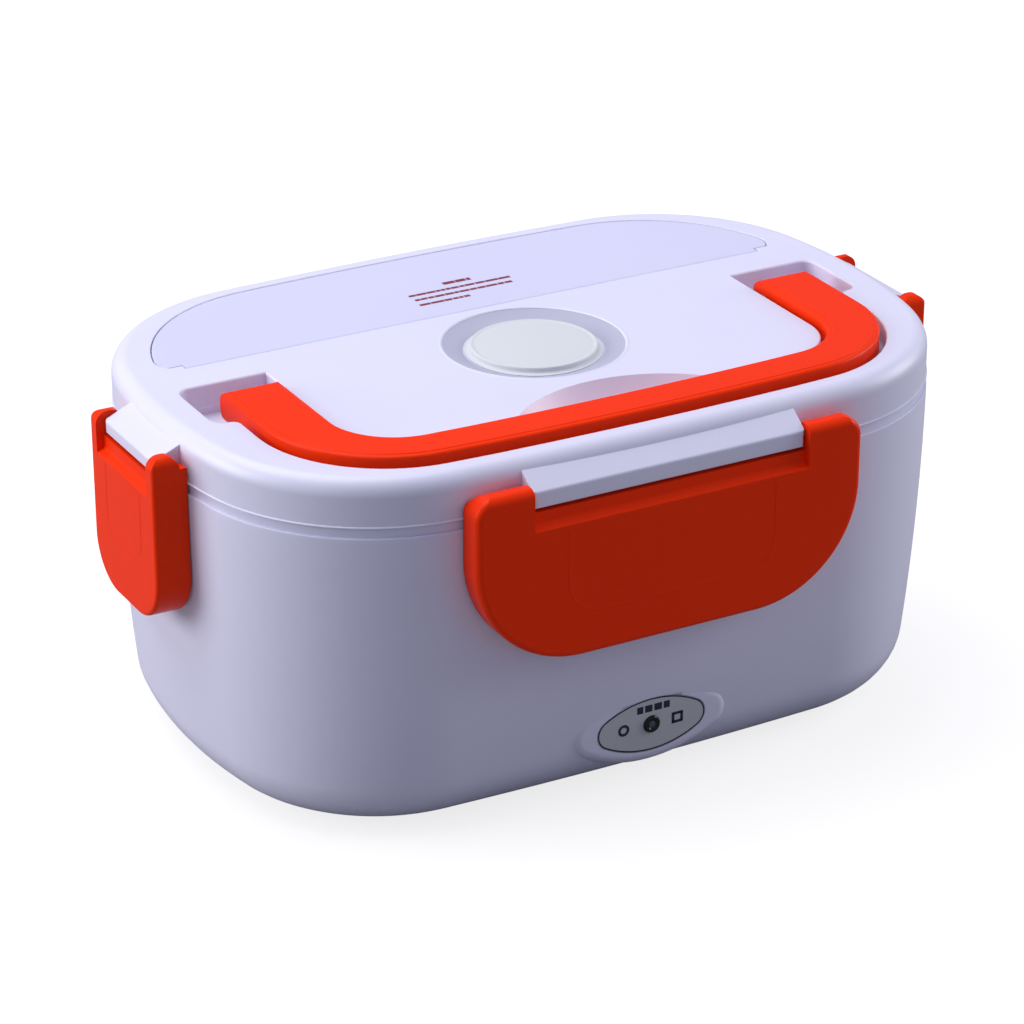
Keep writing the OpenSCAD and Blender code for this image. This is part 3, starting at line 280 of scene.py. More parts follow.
def pocket_cutter(outline, floor, top, lip=0.6, floor_r=0.0):
    """Cutter for a pocket: a rounded floor edge, an upright wall and a lip that flares out."""
    section = lower_edge(floor, floor_r)
    section += [(-d, top - lip + rise) for d, rise in quarter(lip, 5)[:-1]]
    return loft("cutter", stacked(outline, section + [(-lip, top + OVER)]))


def lathe(name, profile, body=None, material=None, steps=96, place=as_drawn):
    """Turns an open profile of (radius, height) round the Z axis; radius 0 closes an end."""
    points, faces, rows = [], [], []
    for r, z in profile:
        count = 1 if r == 0 else steps
        rows.append((len(points), count))
        points += [place(r * math.cos(2 * math.pi * i / steps),
                         r * math.sin(2 * math.pi * i / steps), z) for i in range(count)]
    for (a, na), (b, nb) in zip(rows, rows[1:]):
        for i in range(steps):
            k = (i + 1) % steps
            face = [a + i % na, a + k % na, b + k % nb, b + i % nb]
            faces.append(tuple(dict.fromkeys(face)))
    return piece(name, points, faces, body, material)


print("a quarter circle of 2 mm has", len(quarter(2.0)), "steps")

# %% [markdown]
# ## Materials
# The box is almost all moulded plastic, and such a surface is never perfectly even. The mould's
# fine texture breaks the gloss, the melt leaves a faint drift in tone, and that is what tells
# the eye "plastic" rather than "paint". Each finish below is built from the real process, with
# pattern sizes in millimetres. Colours are written as sRGB hex and turned linear in one place.


# %% Helpers for node materials
def linear(hex_colour):
    """sRGB hex such as #E3E1F5 to the linear RGBA that the shaders work in."""
    values = [int(hex_colour[i:i + 2], 16) / 255 for i in (1, 3, 5)]
    return [v / 12.92 if v <= 0.04045 else ((v + 0.055) / 1.055) ** 2.4 for v in values] + [1.0]


def node(tree, kind, settings=None, **links):
    """Adds a node, sets properties or socket values, and links inputs by socket name."""
    new = tree.nodes.new(kind)
    for key, value in (settings or {}).items():
        if key in new.inputs:
            new.inputs[key].default_value = value
        else:
            setattr(new, key, value)
    for key, source in links.items():
        tree.links.new(source, new.inputs[key.replace("_", " ")])
    return new


def material(name, rough, surface=None, **constants):
    """A principled material; surface(tree, shader, place) adds what varies over it."""
    made = bpy.data.materials.new(name)
    made.use_nodes = True
    tree = made.node_tree
    tree.nodes.clear()
    shader = node(tree, "ShaderNodeBsdfPrincipled", {"Roughness": rough})
    for key, value in constants.items():
        shader.inputs[key.replace("_", " ")].default_value = value
    node(tree, "ShaderNodeOutputMaterial", Surface=shader.outputs[0])
    place = node(tree, "ShaderNodeTexCoord").outputs["Object"]
    if surface:
        surface(tree, shader, place)
    return made


def vary(tree, shader, tone, tones, sheen, gloss, grain, relief):
    """Links a pattern each to the colour, the roughness and the relief of a shader.

    tones and gloss are the two ends that a pattern moves between; relief is how strong and
    how deep the bump is."""
    colour = node(tree, "ShaderNodeMix", {"data_type": "RGBA"})
    for i, hex_colour in enumerate(tones):
        colour.inputs[6 + i].default_value = linear(hex_colour)
    tree.links.new(tone.outputs["Fac"], colour.inputs[0])
    tree.links.new(colour.outputs[2], shader.inputs["Base Color"])
    rough = node(tree, "ShaderNodeMapRange", {"To Min": gloss[0], "To Max": gloss[1]},
                 Value=sheen.outputs["Fac"])
    tree.links.new(rough.outputs[0], shader.inputs["Roughness"])
    bump = node(tree, "ShaderNodeBump", {"Strength": relief[0], "Distance": relief[1]},
                Height=grain.outputs["Fac"])
    tree.links.new(bump.outputs["Normal"], shader.inputs["Normal"])


print("white lavender in linear:", [round(v, 3) for v in linear("#E3E1F5")[:3]])


# %% [markdown]
# ### Moulded plastic
# Polypropylene comes out of a spark-eroded mould with a texture of about a third of a
# millimetre. It is drawn at 0.45 mm so that it still shows. A second, much larger noise moves
# the tone by a few hundredths, as uneven cooling does, and a third one varies the gloss.

# %% Moulded plastic finishes
GRAIN_DEPTH, LINE_DEPTH = 0.02 * MM, 0.01 * MM    # relief of moulded grain and of rolled lines
GLOSS_SHARE = 0.3                 # the gloss changes over a third of the tone's distance


def moulded(dark, light, grain_mm, bump, drift_mm=60.0, gloss=(0.3, 0.45)):
    """Surface maker for moulded plastic or rubber."""
    def surface(tree, shader, place):
        drift = node(tree, "ShaderNodeTexNoise",
                     {"Scale": 1 / (drift_mm * MM), "Detail": 2.0}, Vector=place)
        sheen = node(tree, "ShaderNodeTexNoise",
                     {"Scale": 1 / (drift_mm * GLOSS_SHARE * MM), "Detail": 3.0}, Vector=place)
        grain = node(tree, "ShaderNodeTexNoise",
                     {"Scale": 1 / (grain_mm * MM), "Detail": 2.0, "Roughness": 0.6}, Vector=place)
        vary(tree, shader, drift, (dark, light), sheen, gloss, grain, (bump, GRAIN_DEPTH))
    return surface


white_plastic = material("lavender white polypropylene, moulded satin", 0.38,
                         moulded("#DEDCF4", "#E4E3F8", 0.45, 0.5), IOR=1.49)
# the grey of this colour is painted shade of the countersunk ring; its roughness and grain are real
ring_painted_shade = material("lavender grey polypropylene, eroded texture of the vent ring", 0.6,
                        moulded("#B2B2C8", "#BABACF", 0.45, 0.8, gloss=(0.55, 0.7)), IOR=1.49)
cover_plastic = material("pale lavender polypropylene, moulded satin", 0.42,
                         moulded("#D2D1EE", "#D8D8F2", 0.45, 0.5, gloss=(0.36, 0.5)), IOR=1.49)
# the red is bright, so its clear gloss is kept low: a strong one would wash it out to pink
red_plastic = material("orange red ABS, moulded gloss", 0.3,
                       moulded("#F63102", "#FB3703", 0.5, 0.35, gloss=(0.3, 0.4)), IOR=1.4,
                       Specular_IOR_Level=0.15)
tray_plastic = material("natural polypropylene, food tray", 0.45,
                        moulded("#DFDFDC", "#E8E8E4", 0.6, 0.5, gloss=(0.4, 0.52)), IOR=1.49)
black_plastic = material("black glass-filled nylon, inlet", 0.5,
                         moulded("#101012", "#18181A", 0.4, 0.8, gloss=(0.45, 0.6)), IOR=1.53)
silicone = material("translucent white silicone rubber", 0.5,
                    moulded("#D3D5DA", "#DADCE0", 0.4, 0.3, gloss=(0.42, 0.55)), IOR=1.41)
foot_rubber = material("grey rubber, feet", 0.75,
                       moulded("#3A3A3D", "#444448", 0.4, 0.8, gloss=(0.7, 0.85)), IOR=1.52)
lead_cover = material("red silicone, lead covers", 0.5,
                      moulded("#B01C10", "#BC2416", 0.5, 0.3, gloss=(0.45, 0.55)), IOR=1.41)
board_green = material("green solder mask, lamp board", 0.35,
                       moulded("#0E4A24", "#14592C", 0.5, 0.4, gloss=(0.3, 0.45)), IOR=1.5)
mica_tan = material("pressed mica, heater pads", 0.5,
                    moulded("#A8906A", "#BCA47C", 0.8, 1.0, 4.0, gloss=(0.4, 0.6)), IOR=1.58)
print("plastics and rubbers made, the first is", white_plastic.name)


# %% [markdown]
# ### Metals and the printed label
# A metal sheet that was rolled or brushed shows fine lines in one direction. Stretching a noise
# along that direction draws them. The label is a foil with a satin lacquer and a faint grain.

# %% Metals, label and print
def brushed(dark, light, line_mm, along=40.0, gloss=(0.28, 0.42)):
    """Surface maker for a metal with fine lines along X."""
    def surface(tree, shader, place):
        stretch = node(tree, "ShaderNodeMapping", {"Scale": (1 / along, 1.0, 1.0)}, Vector=place)
        lines = node(tree, "ShaderNodeTexNoise", {"Scale": 1 / (line_mm * MM), "Detail": 3.0},
                     Vector=stretch.outputs[0])
        vary(tree, shader, lines, (dark, light), lines, gloss, lines, (0.3, LINE_DEPTH))
    return surface


steel = material("brushed stainless steel", 0.35, brushed("#A9A9AB", "#C6C6C8", 0.25), Metallic=1.0)
aluminium = material("rolled aluminium, heating plate", 0.4,
                     brushed("#B4B6B9", "#D0D2D4", 0.3), Metallic=1.0)
brass = material("bright brass, inlet pins", 0.25,
                 brushed("#B8924A", "#CDA75C", 0.2, gloss=(0.2, 0.3)), Metallic=1.0)
label_foil = material("silver grey label foil, satin lacquer", 0.45,
                      brushed("#BCBEC3", "#C6C8CC", 0.3, 6.0, gloss=(0.4, 0.5)), IOR=1.5)
navy_ink = material("navy screen-printing ink", 0.5,
                    moulded("#1B1B34", "#24243F", 0.3, 0.2, 10.0), IOR=1.5)
red_ink = material("dull red screen-printing ink", 0.5,
                   moulded("#7E2C3A", "#8A3644", 0.3, 0.2, 10.0), IOR=1.5)
lens_dark = material("smoked acrylic, lamp lens", 0.15,
                     moulded("#0B0C10", "#14161C", 0.5, 0.1, 10.0, gloss=(0.12, 0.2)), IOR=1.49)
lens_clear = material("frosted acrylic, lamp window", 0.3,
                      moulded("#4A4C56", "#555863", 0.3, 0.2, 10.0), IOR=1.49)
print("metals, label and inks ready")

# %% [markdown]
# ## The base shell
# The base is one deep moulding: a wall that draws in towards the bottom so that it leaves the
# mould, a large radius round the bottom, and a rolled upper edge that meets the rim band. A loft
# through the wall's section does it all, inside and outside, with no boolean.


# %% Base shell
def wall_in(z):
    """How far the wall's gentle curve stands in at a height."""
    return WALL_CURVE - math.sqrt(WALL_CURVE ** 2 - (Z_SEAM - z) ** 2)


def bend(cx, cz, r, start, end, steps=8):
    """Arc of a wall section, as (inset, height)."""
    return [(x, z) for x, z in arc(cx, cz, r, start, end, steps)]


def sweep(name, section, body, finish, closed=True):
    """Wall section of (inset, height) carried round the box's outline."""
    rings = [[(x, y, z) for x, y in bowed_outline(BODY, inset)] for inset, z in section]
    return loft(name, rings, body, finish, closed)


EDGE_R, EDGE_IN = 0.35, 0.05       # radius of the shell's upper edge, and where it starts
LIP_LOW, LIP_TOP = Z_BASE + 1.7, Z_BASE + 3.4      # the step that takes the bottom cover
edge_z = Z_BASE + BOTTOM_R
edge_in = WALL_CURVE - math.sqrt((WALL_CURVE - BOTTOM_R) ** 2 - (Z_SEAM - edge_z) ** 2)
edge_turn = math.degrees(math.asin((Z_SEAM - edge_z) / (WALL_CURVE - BOTTOM_R)))
cover_in, lip_in = edge_in + 1, edge_in + 7
wall_heights = [edge_z + (Z_BAND - 1.0 - edge_z) * i / 8 for i in range(1, 9)]
shell_section = [(cover_in, Z_BASE)]
shell_section += bend(edge_in, edge_z, BOTTOM_R, 270, 180 + edge_turn, 12)
shell_section += [(wall_in(z), z) for z in wall_heights]
shell_section += upper_edge(Z_BAND, EDGE_R, EDGE_IN)
shell_section += [(SHELL_WALL, Z_BAND), (SHELL_WALL + 0.1, Z_BAND - 4)]
shell_section += [(wall_in(z) + SHELL_WALL, z) for z in reversed(wall_heights[:-1])]
shell_section += bend(edge_in, edge_z, BOTTOM_R - SHELL_WALL, 180 + edge_turn, 256)
shell_section += [(lip_in - 2, LIP_TOP), (lip_in, LIP_TOP), (lip_in, LIP_LOW), (cover_in, LIP_LOW)]
base_shell = soften(sweep("base_shell", shell_section, "base", white_plastic))
print("base shell:", len(base_shell.data.polygons), "faces")

# %% [markdown]
# ### The lamp boss and the inlet boss
# Low on the front the wall swells into a small oval boss that carries the lamp label, and the
# same boss at the back carries the mains inlet. Below it the wall already turns under, so the
# boss stands out more there and breaks the straight bottom line of the box.

# %% Bosses on the front and the back
LABEL_A, LABEL_B = 17.0, 8.0
LABEL_Z, INLET_Z = 18.9, 16.5
LABEL_GAP, LABEL_SEAT = 0.15, 0.75       # room round the label, and the depth of its seat
LENS_HOLE_R = 3.2
INLET_X, INLET_Y = 12.6, 7.8             # half sizes of the opening for the mains inlet
BOSS_SIDE, BOSS_DEPTH, CUT_DEPTH = 8.0, 6.5, 12.0
END_SHARE = 0.58                         # radius of the oval's ends as a share of its height
BOSS_FACE = BODY[1] - wall_in(LABEL_Z) + 0.5


def label_outline(a, b, steps=20):
    """Oval of four arcs, as long labels of this kind are cut."""
    r = b * END_SHARE
    big = (a * a + b * b - 2 * a * r) / (2 * (b - r))
    meet = math.degrees(math.atan2(big - b, a - r))
    points = []
    for turn in (0, 180):
        s = 1 if turn == 0 else -1
        points += arc(s * (a - r), 0, r, turn - meet, turn + meet, steps)[:-1]
        points += arc(0, s * (b - big), big, turn + meet, turn + 180 - meet, steps)[:-1]
    return points


def on_front(distance, height):
    """Places a flat drawing upright on the front wall, with its thickness towards the back."""
    return lambda x, y, z: (x, -distance + z, height + y)


def on_back(distance, height):
    """The same on the back wall."""
    return lambda x, y, z: (-x, distance - z, height + y)


at_label, at_inlet = on_front(BOSS_FACE, LABEL_Z), on_back(BOSS_FACE, INLET_Z)
lamp_boss = prism("lamp_boss", label_outline(LABEL_A + BOSS_SIDE, LABEL_B + 4), 0, BOSS_DEPTH,
                  "base", white_plastic, low_r=3.4, place=at_label)
inlet_boss = prism("inlet_boss", label_outline(LABEL_A + BOSS_SIDE, LABEL_B + 3.2), 0, BOSS_DEPTH,
                   "base", white_plastic, low_r=2.4, place=at_inlet)
for boss, place in ((lamp_boss, at_label), (inlet_boss, at_inlet)):
    cut(boss, prism("core", label_outline(LABEL_A + 3, LABEL_B + 0.5), SHELL_WALL, CUT_DEPTH,
                    place=place))

inlet_hole = [(INLET_X, -INLET_Y), (INLET_X, INLET_Y), (-INLET_X, INLET_Y), (-INLET_X, -INLET_Y)]
for holder in (inlet_boss, base_shell):
    cut(holder, prism("hole", inlet_hole, -2, CUT_DEPTH, place=at_inlet))
lens_hole = [(0, -2), (LENS_HOLE_R, -2), (LENS_HOLE_R, CUT_DEPTH), (0, CUT_DEPTH)]
for holder in (lamp_boss, base_shell):
    cut(holder, lathe("hole", lens_hole, place=at_label))
seat_line = label_outline(LABEL_A + LABEL_GAP, LABEL_B + LABEL_GAP)
for holder in (lamp_boss, base_shell):
    cut(holder, prism("seat", seat_line, -2, LABEL_SEAT, place=at_label))
for moulding in (lamp_boss, inlet_boss, base_shell):
    soften(moulding)
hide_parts("outer_shell")
print("bosses stand at", round(BOSS_FACE, 1), "mm from the middle")

# %% [markdown]
# ## Rim band and food tray
# The heating chamber hangs in the shell by a rim, and the outer face of that rim is the narrow
# band under the lid. The band stands in a little, so the edges of the shell and of the lid catch
# the light on both sides of it. Inside hangs the food tray with its own thin rim. Both are lofts
# through their wall sections, like the shell.

# %% Chamber and tray
FLOOR_Z = 23.0
CHAMBER_IN, CHAMBER_DRAFT, CHAMBER_WALL, CHAMBER_R = 7.0, 4.6, 2.0, 14.0
LEDGE_IN, LEDGE_Z = 5.0, Z_SEAM - 2.6
BAND_IN, BAND_R = 0.75, 0.4       # how far the narrow band stands in, and its upper edge
CHAMBER_GAP, RIM_THICK = 0.3, 2.2
INNER = 26.0                      # how far the floor reaches in, to the opening in its middle
TRAY_WALL = 1.4
foot_in = CHAMBER_IN + CHAMBER_DRAFT
low_z = FLOOR_Z - CHAMBER_WALL
chamber_section = [(foot_in + INNER, low_z), (foot_in + CHAMBER_R, low_z)]
chamber_section += bend(foot_in + CHAMBER_R, low_z + CHAMBER_R, CHAMBER_R, 260, 185)
chamber_section += [(CHAMBER_IN, LEDGE_Z - RIM_THICK),
                    (SHELL_WALL + CHAMBER_GAP, LEDGE_Z - RIM_THICK),
                    (SHELL_WALL + CHAMBER_GAP, Z_BAND), (BAND_IN, Z_BAND)]
chamber_section += upper_edge(Z_SEAM - 0.15, BAND_R, BAND_IN)
chamber_section += [(LEDGE_IN, Z_SEAM - 0.15), (LEDGE_IN, LEDGE_Z),
                    (CHAMBER_IN + CHAMBER_WALL, LEDGE_Z)]
chamber_section += bend(foot_in + CHAMBER_R, low_z + CHAMBER_R, CHAMBER_R - CHAMBER_WALL, 185, 260)
chamber_section += [(foot_in + CHAMBER_R, FLOOR_Z), (foot_in + INNER, FLOOR_Z)]
chamber = soften(sweep("heating_chamber", chamber_section, "base", white_plastic))
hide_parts("inner_chamber")

tray_in = CHAMBER_IN + CHAMBER_WALL + 0.6
tray_foot = foot_in + CHAMBER_WALL + 0.8
tray_r = CHAMBER_R - CHAMBER_WALL - 0.8
tray_floor = FLOOR_Z + 1.6
rim_z, rim_top, rim_in = LEDGE_Z + 0.1, LEDGE_Z + 1.6, LEDGE_IN + 0.3
tray_section = [(tray_foot + tray_r, tray_floor)]
tray_section += bend(tray_foot + tray_r, tray_floor + tray_r, tray_r, 262, 184)
tray_section += [(tray_in + 0.3, rim_z), (rim_in, rim_z), (rim_in, rim_top - 0.5)]
tray_section += upper_edge(rim_top, 0.5, rim_in, 3)
tray_section += [(tray_in + TRAY_WALL, rim_top), (tray_in + TRAY_WALL + 0.4, rim_top - 0.2),
                 (tray_in + TRAY_WALL + 0.6, rim_top - 0.8)]
tray_section += bend(tray_foot + tray_r, tray_floor + tray_r, tray_r - TRAY_WALL, 184, 262)
tray_section += [(tray_foot + tray_r, tray_floor + TRAY_WALL)]
tray = soften(sweep("food_tray_moulding", tray_section, "base", tray_plastic, closed=False))
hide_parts("food_tray")
print("chamber", len(chamber.data.polygons), "faces, tray", len(tray.data.polygons), "faces")

# %% [markdown]
# ## The lid
# The lid is a shallow moulding with many things sunk into it: a U-shaped groove for the handle
# with a pocket at each end, a dish for the fingers, a countersunk ring for the steam plug and a
# half-moon box for the spoon. It starts as one solid loft, and each of these is cut into it with
# a flared cutter. Its underside is closed by the flat liner, so the solid needs no hollow. The
# ring is rougher than the rest, its colour is greyer as painted shade of the recess, and a fine
# raised bead runs round it.

# %% Outlines on the lid
HANDLE_HX, HANDLE_REACH, HANDLE_R = 92.6, 66.0, 36.0
HANDLE_ARM, HANDLE_BAR, HANDLE_IN_R = 16.8, 12.9, 19.4
HANDLE_LOW, HANDLE_TOP = 101.5, 109.9
FRONT_BOW = 1250.0                # radius of the handle's slightly bowed front
FRONT_XS = (-45, -30, -15, 0, 15, 30, 45)
PIVOT = (-4.5, 104.9)
GROOVE_OUT, GROOVE_IN, GROOVE_Z = 2.0, 1.5, 101.1
POCKET_X, POCKET_FRONT, POCKET_BACK, POCKET_Z = 101.0, -15.5, 10.0, 98.9
POCKET_STEP = 0.3                 # the pockets' lower parts stand in by this much
COVER_FRONT, COVER_R, COVER_GAP = 23.0, 7.0, 0.3
WELL_IN, BLOCK_Y = 2.5, 25.2      # the spoon's well, and the hinge blocks at its front corners
VENT_Y = -6.3


def u_outline(out_hx, out_reach, out_r, in_hx, in_reach, in_r, back, ears=()):
    """U shape with a slightly bowed front, as the handle and its groove have.

    ears are corners at the outer side of each arm, from the back forwards."""
    def front(reach, xs):
        return [(x, -reach + x * x / (2 * FRONT_BOW), 0) for x in xs]
    outer = list(ears or [(out_hx, back, 0)])
    outer = [(-x, y, r) for x, y, r in outer]
    outer += [(-out_hx, -out_reach + out_hx ** 2 / (2 * FRONT_BOW), out_r)]
    left = list(outer)
    outer += front(out_reach, FRONT_XS)
    outer += [(-x, y, r) for x, y, r in reversed(left)]
    inner = [(in_hx, back, 0), (in_hx, -in_reach + in_hx ** 2 / (2 * FRONT_BOW), in_r)]
    inner += front(in_reach, FRONT_XS[::-1])
    inner += [(-x, y, r) for x, y, r in reversed(inner[:2])]
    return rounded(outer + inner, 20)


def cover_corner(inset, front, r):
    """X of the centre of a half moon's corner arc."""
    cx, cy = bow(COVER)[:2]
    return cx + math.sqrt((COVER[2] - inset - r) ** 2 - (front + r - cy) ** 2)


def cover_outline(inset, front, r):
    """Half-moon outline: straight at the front, bowed at the back, with two round corners."""
    b, big = COVER[1:]
    cx, cy, _, side_gap = bow(COVER)
    x = cover_corner(inset, front, r)
    meet = math.degrees(math.atan2(front + r - cy, x - cx))
    half = arc(x, front + r, r, -90, meet, 14)[:-1]
    half += arc(cx, cy, big - inset, meet, 90 - SIDE_BOW, 30)[:-1]
    half += arc(0, b - big - side_gap, big + side_gap - inset, 90 - SIDE_BOW, 90, 8)
    return half + [(-x, y) for x, y in reversed(half[:-1])]


def notched(outline, x, y):
    """The half moon with its two front corners stepped back to (x, y)."""
    half = [p for p in outline[:len(outline) // 2 + 1] if p[1] > y]
    first = outline[outline.index(half[0]) - 1]
    u = (y - first[1]) / (half[0][1] - first[1])
    half = [(x, outline[0][1]), (x, y), (first[0] + u * (half[0][0] - first[0]), y)] + half
    return half + [(-px, py) for px, py in reversed(half[:-1])]


island_x = HANDLE_HX - HANDLE_ARM - GROOVE_IN
groove_x = HANDLE_HX + GROOVE_OUT
pocket_ears = [(POCKET_X, POCKET_BACK, 3.6), (POCKET_X, POCKET_FRONT, 3.6),
               (groove_x, POCKET_FRONT, 2.75)]
groove_line = u_outline(groove_x, HANDLE_REACH + GROOVE_OUT, HANDLE_R + GROOVE_OUT, island_x,
                        HANDLE_REACH - HANDLE_BAR - GROOVE_IN, HANDLE_IN_R - GROOVE_IN,
                        POCKET_BACK, pocket_ears)
CORNER_X = cover_corner(0.0, COVER_FRONT, COVER_R)
block = (CORNER_X + 1.3, BLOCK_Y)
recess_line = notched(cover_outline(-COVER_GAP, COVER_FRONT, COVER_R + COVER_GAP), *block)
well_line = notched(cover_outline(WELL_IN, COVER_FRONT, COVER_R), *block)
print("groove outline:", len(groove_line), "points; half moon:", len(recess_line), "points")

# %% Lid moulding
SKIRT_IN, SKIRT_TOP = 2.4, 96.2   # inner wall of the skirt round the rim; the lid's underside
LIP_R, LID_IN = 0.2, 0.3          # a fine lip at the seam; the wall above it stands in
LID_R, LID_DROP = 4.7, 5.0        # the rounded upper edge: its width and its height
lid_section = [(SKIRT_IN, SKIRT_TOP), (SKIRT_IN, Z_SEAM)]
lid_section += lower_edge(Z_SEAM, LIP_R)
lid_section += [(0.0, Z_SEAM + 0.3), (0.04, Z_SEAM + 0.4), (0.34, Z_SEAM + 0.62)]
lid_section += [(LID_IN, Z_TOP - LID_DROP)]
lid_section += [(LID_IN + d, Z_TOP - LID_DROP + rise * LID_DROP / LID_R)
                for d, rise in quarter(LID_R, 10)[1:]]
lid = sweep("lid_moulding", lid_section, "lid", white_plastic, closed=False)
print("lid before its cuts:", len(lid.data.polygons), "faces")

# %% Groove, pockets and the spoon's box cut into the lid
RECESS_Z, WELL_Z = 105.2, 97.4
pocket_in, pocket_out = island_x + POCKET_STEP, POCKET_X - POCKET_STEP
pocket_low, pocket_high = POCKET_FRONT + POCKET_STEP, POCKET_BACK - POCKET_STEP
pocket_line = rounded([(pocket_in, pocket_low, 1.0), (pocket_out, pocket_low, 3.4),
                       (pocket_out, pocket_high, 3.4), (pocket_in, pocket_high, 1.0)])
mirror_line = [(-x, y) for x, y in reversed(pocket_line)]
cut(lid, pocket_cutter(groove_line, GROOVE_Z, Z_TOP, floor_r=0.5))
for line in (pocket_line, mirror_line):
    cut(lid, pocket_cutter(line, POCKET_Z, GROOVE_Z + 0.6, lip=0.01, floor_r=0.5))
cut(lid, pocket_cutter(recess_line, RECESS_Z, Z_TOP, lip=0.3))
cut(lid, pocket_cutter(well_line, WELL_Z, RECESS_Z, lip=0.01, floor_r=1.0))
print("lid with its groove and box:", len(lid.data.polygons), "faces")


# %% Vent ring and finger scoop
def at_vent(x, y, z):
    """Moves a turned shape to the steam plug's place."""
    return (x, y + VENT_Y, z)


VENT_HOLE_R, VENT_SEAT_R, VENT_SEAT_Z = 8.0, 19.7, 105.3
RING_R, RING_TOP = 25.6, 107.2    # the ring's outer radius; its texture and grey painted shade end below this height
ring = [(0, 90), (VENT_HOLE_R, 90), (VENT_HOLE_R, VENT_SEAT_Z), (VENT_SEAT_R, VENT_SEAT_Z)]
ring += [(RING_R - 0.5, 107.1), (RING_R, 107.3), (RING_R + 0.4, 107.44), (RING_R + 1.0, 107.52),
         (RING_R + 1.0, 112), (0, 112)]
cut(lid, lathe("ring", ring, place=at_vent))

BALL, SCOOP_R, SCOOP_Y = 50.0, 42.0, -79.8     # the ball that the scoop is a slice of
rise = math.sqrt(BALL ** 2 - SCOOP_R ** 2)
dish = [(0, Z_TOP + rise - BALL)]
dish += [(BALL * math.sin(math.radians(t)), Z_TOP + rise - BALL * math.cos(math.radians(t)))
         for t in range(2, 60, 2)]
dish += [(0, dish[-1][1])]
scoop = lathe("scoop", dish, steps=180, place=lambda x, y, z: (x, y + SCOOP_Y, z))
# only the part of the slice behind the handle's bar cuts the lid
cut(scoop, prism("keep", rectangle(-40, 40, -52.2, -34), HANDLE_LOW, 130), operation="INTERSECT")
cut(lid, scoop)
soften(lid, 28)
print("lid moulding:", len(lid.data.polygons), "faces")

# %% Texture and painted shade of the ring, and its bead
lid.data.materials.append(ring_painted_shade)
# the ring's upward faces below RING_TOP get the grey colour, painted shade of the countersunk
# recess
for face in lid.data.polygons:
    x, y, z = face.center / MM
    in_ring = 19.0 < math.hypot(x, y - VENT_Y) < RING_R - 0.2
    if in_ring and z < RING_TOP and face.normal.z > 0.5:
        face.material_index = 1
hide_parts("lid_cover")
bead = [(RING_R - 0.15, 107.3), (RING_R + 0.1, 107.56), (RING_R + 0.4, 107.64),
        (RING_R + 0.7, 107.6), (RING_R + 1.0, 107.45)]
bead.append((RING_R + 0.4, 107.1))
rings = [[at_vent(x, y, z) for x, y in arc(0, 0, r, 0, 357.5, 143)] for r, z in bead]
soften(loft("vent_bead", rings, "lid", white_plastic, closed=True))
print("faces with the ring's painted shade:", sum(f.material_index == 1 for f in lid.data.polygons))

# %% [markdown]
# ### Hinge bars
# Each clasp turns on a pin in a bar that stands out of the lid's edge. The bar's section is
# rounded at the top and almost square at the bottom, so it is drawn from the side and extruded.

# %% Hinge bars and the frame that places clasps
PIN_Z = 99.4
# half: half width; bar: half width of the hinge bar; drop: how far the clasp hangs below the
# pin; corner, top: radii below and above; face: depth of the outer face; ear: height over the
# pin; out: the pin's distance from the wall; low, edge: the bar's underside and its outer top
# edge; fold: radius of the face's edge; panel: the fine line's half width, low, high and radius
LONG = {"half": 59.0, "bar": 41.7, "drop": 48.5, "corner": 32.0, "top": 6.0, "face": -3.82,
        "ear": 2.6, "out": 2.9, "low": -3.7, "edge": 1.0, "fold": 1.8,
        "panel": (32.0, -36.0, -10.0, 10.0)}
END = {"half": 20.5, "bar": 16.0, "drop": 46.0, "corner": 14.0, "top": 3.0, "face": -4.32,
       "ear": 3.6, "out": 4.6, "low": -2.2, "edge": 1.4, "fold": 1.2,
       "panel": (11.4, -29.5, -8.3, 6.0)}
KINDS = {"front": LONG, "back": LONG, "left": END, "right": END}


def at_wall(side):
    """Local frame of a clasp: pin at the origin, -Y outwards, Z up."""
    along = BODY[1] if side in ("front", "back") else BODY[0]
    angle = {"front": 0, "left": -90, "back": 180, "right": 90}[side]
    return Matrix.Rotation(math.radians(angle), 4, "Z") @ Matrix.Translation(
        (0, -(along + KINDS[side]["out"]), PIN_Z))


def placed(side, turn=as_drawn):
    """Maps a local point of a clasp to the box."""
    frame_of = at_wall(side)
    return lambda x, y, z: tuple(frame_of @ Vector(turn(x, y, z)))


def from_side(x, y, z):
    """A side view drawn as (depth, height) and extruded along X."""
    return (z, x, y)


BAR_FACE, BAR_HIGH = 2.0, 4.4      # how far the bar stands out from the pin; its top at the wall
BAR_SINK, BAR_R, BAR_END_R = 2.0, 0.35, 1.5
for side, k in KINDS.items():
    back, end = k["out"] + BAR_SINK, k["bar"]
    rise = (BAR_HIGH - k["edge"]) / (k["out"] + 0.17 + BAR_FACE)
    view = rounded([(-BAR_FACE, k["low"], 0.6), (back, k["low"], 0),
                    (back, k["edge"] + (back + BAR_FACE) * rise, 0),
                    (-BAR_FACE, k["edge"], 1.0)], 6)
    bar = prism(f"hinge_bar_{side}", view, -end, end, "lid", white_plastic, BAR_R, BAR_R,
                place=placed(side, from_side))
    half_plan = [(end, -BAR_FACE, BAR_END_R), (end, -BAR_FACE + BAR_END_R, 0),
                 (end + 1, -1, 0), (end + 1, 9, 0)]
    plan = rounded([(-x, y, r) for x, y, r in reversed(half_plan)] + half_plan, 6)
    cut(bar, prism("plan", plan, -6, 12, place=placed(side)), operation="INTERSECT")
    soften(bar)
print("hinge bars on four sides")

# %% [markdown]
# ## Clasps
# A clasp is a shallow tray of plastic. Its lower corners follow big arcs, its face turns over
# into the rim with a soft radius that the light runs along, and at the top two ears reach past
# the hinge bar and turn on its steel pin. A step under the bar leaves it room when the clasp
# swings up.
# The body is a loft of one rounded outline; the gap for the bar, the step and the hollow back
# are cut out of it, and the hook that catches the base is added inside.

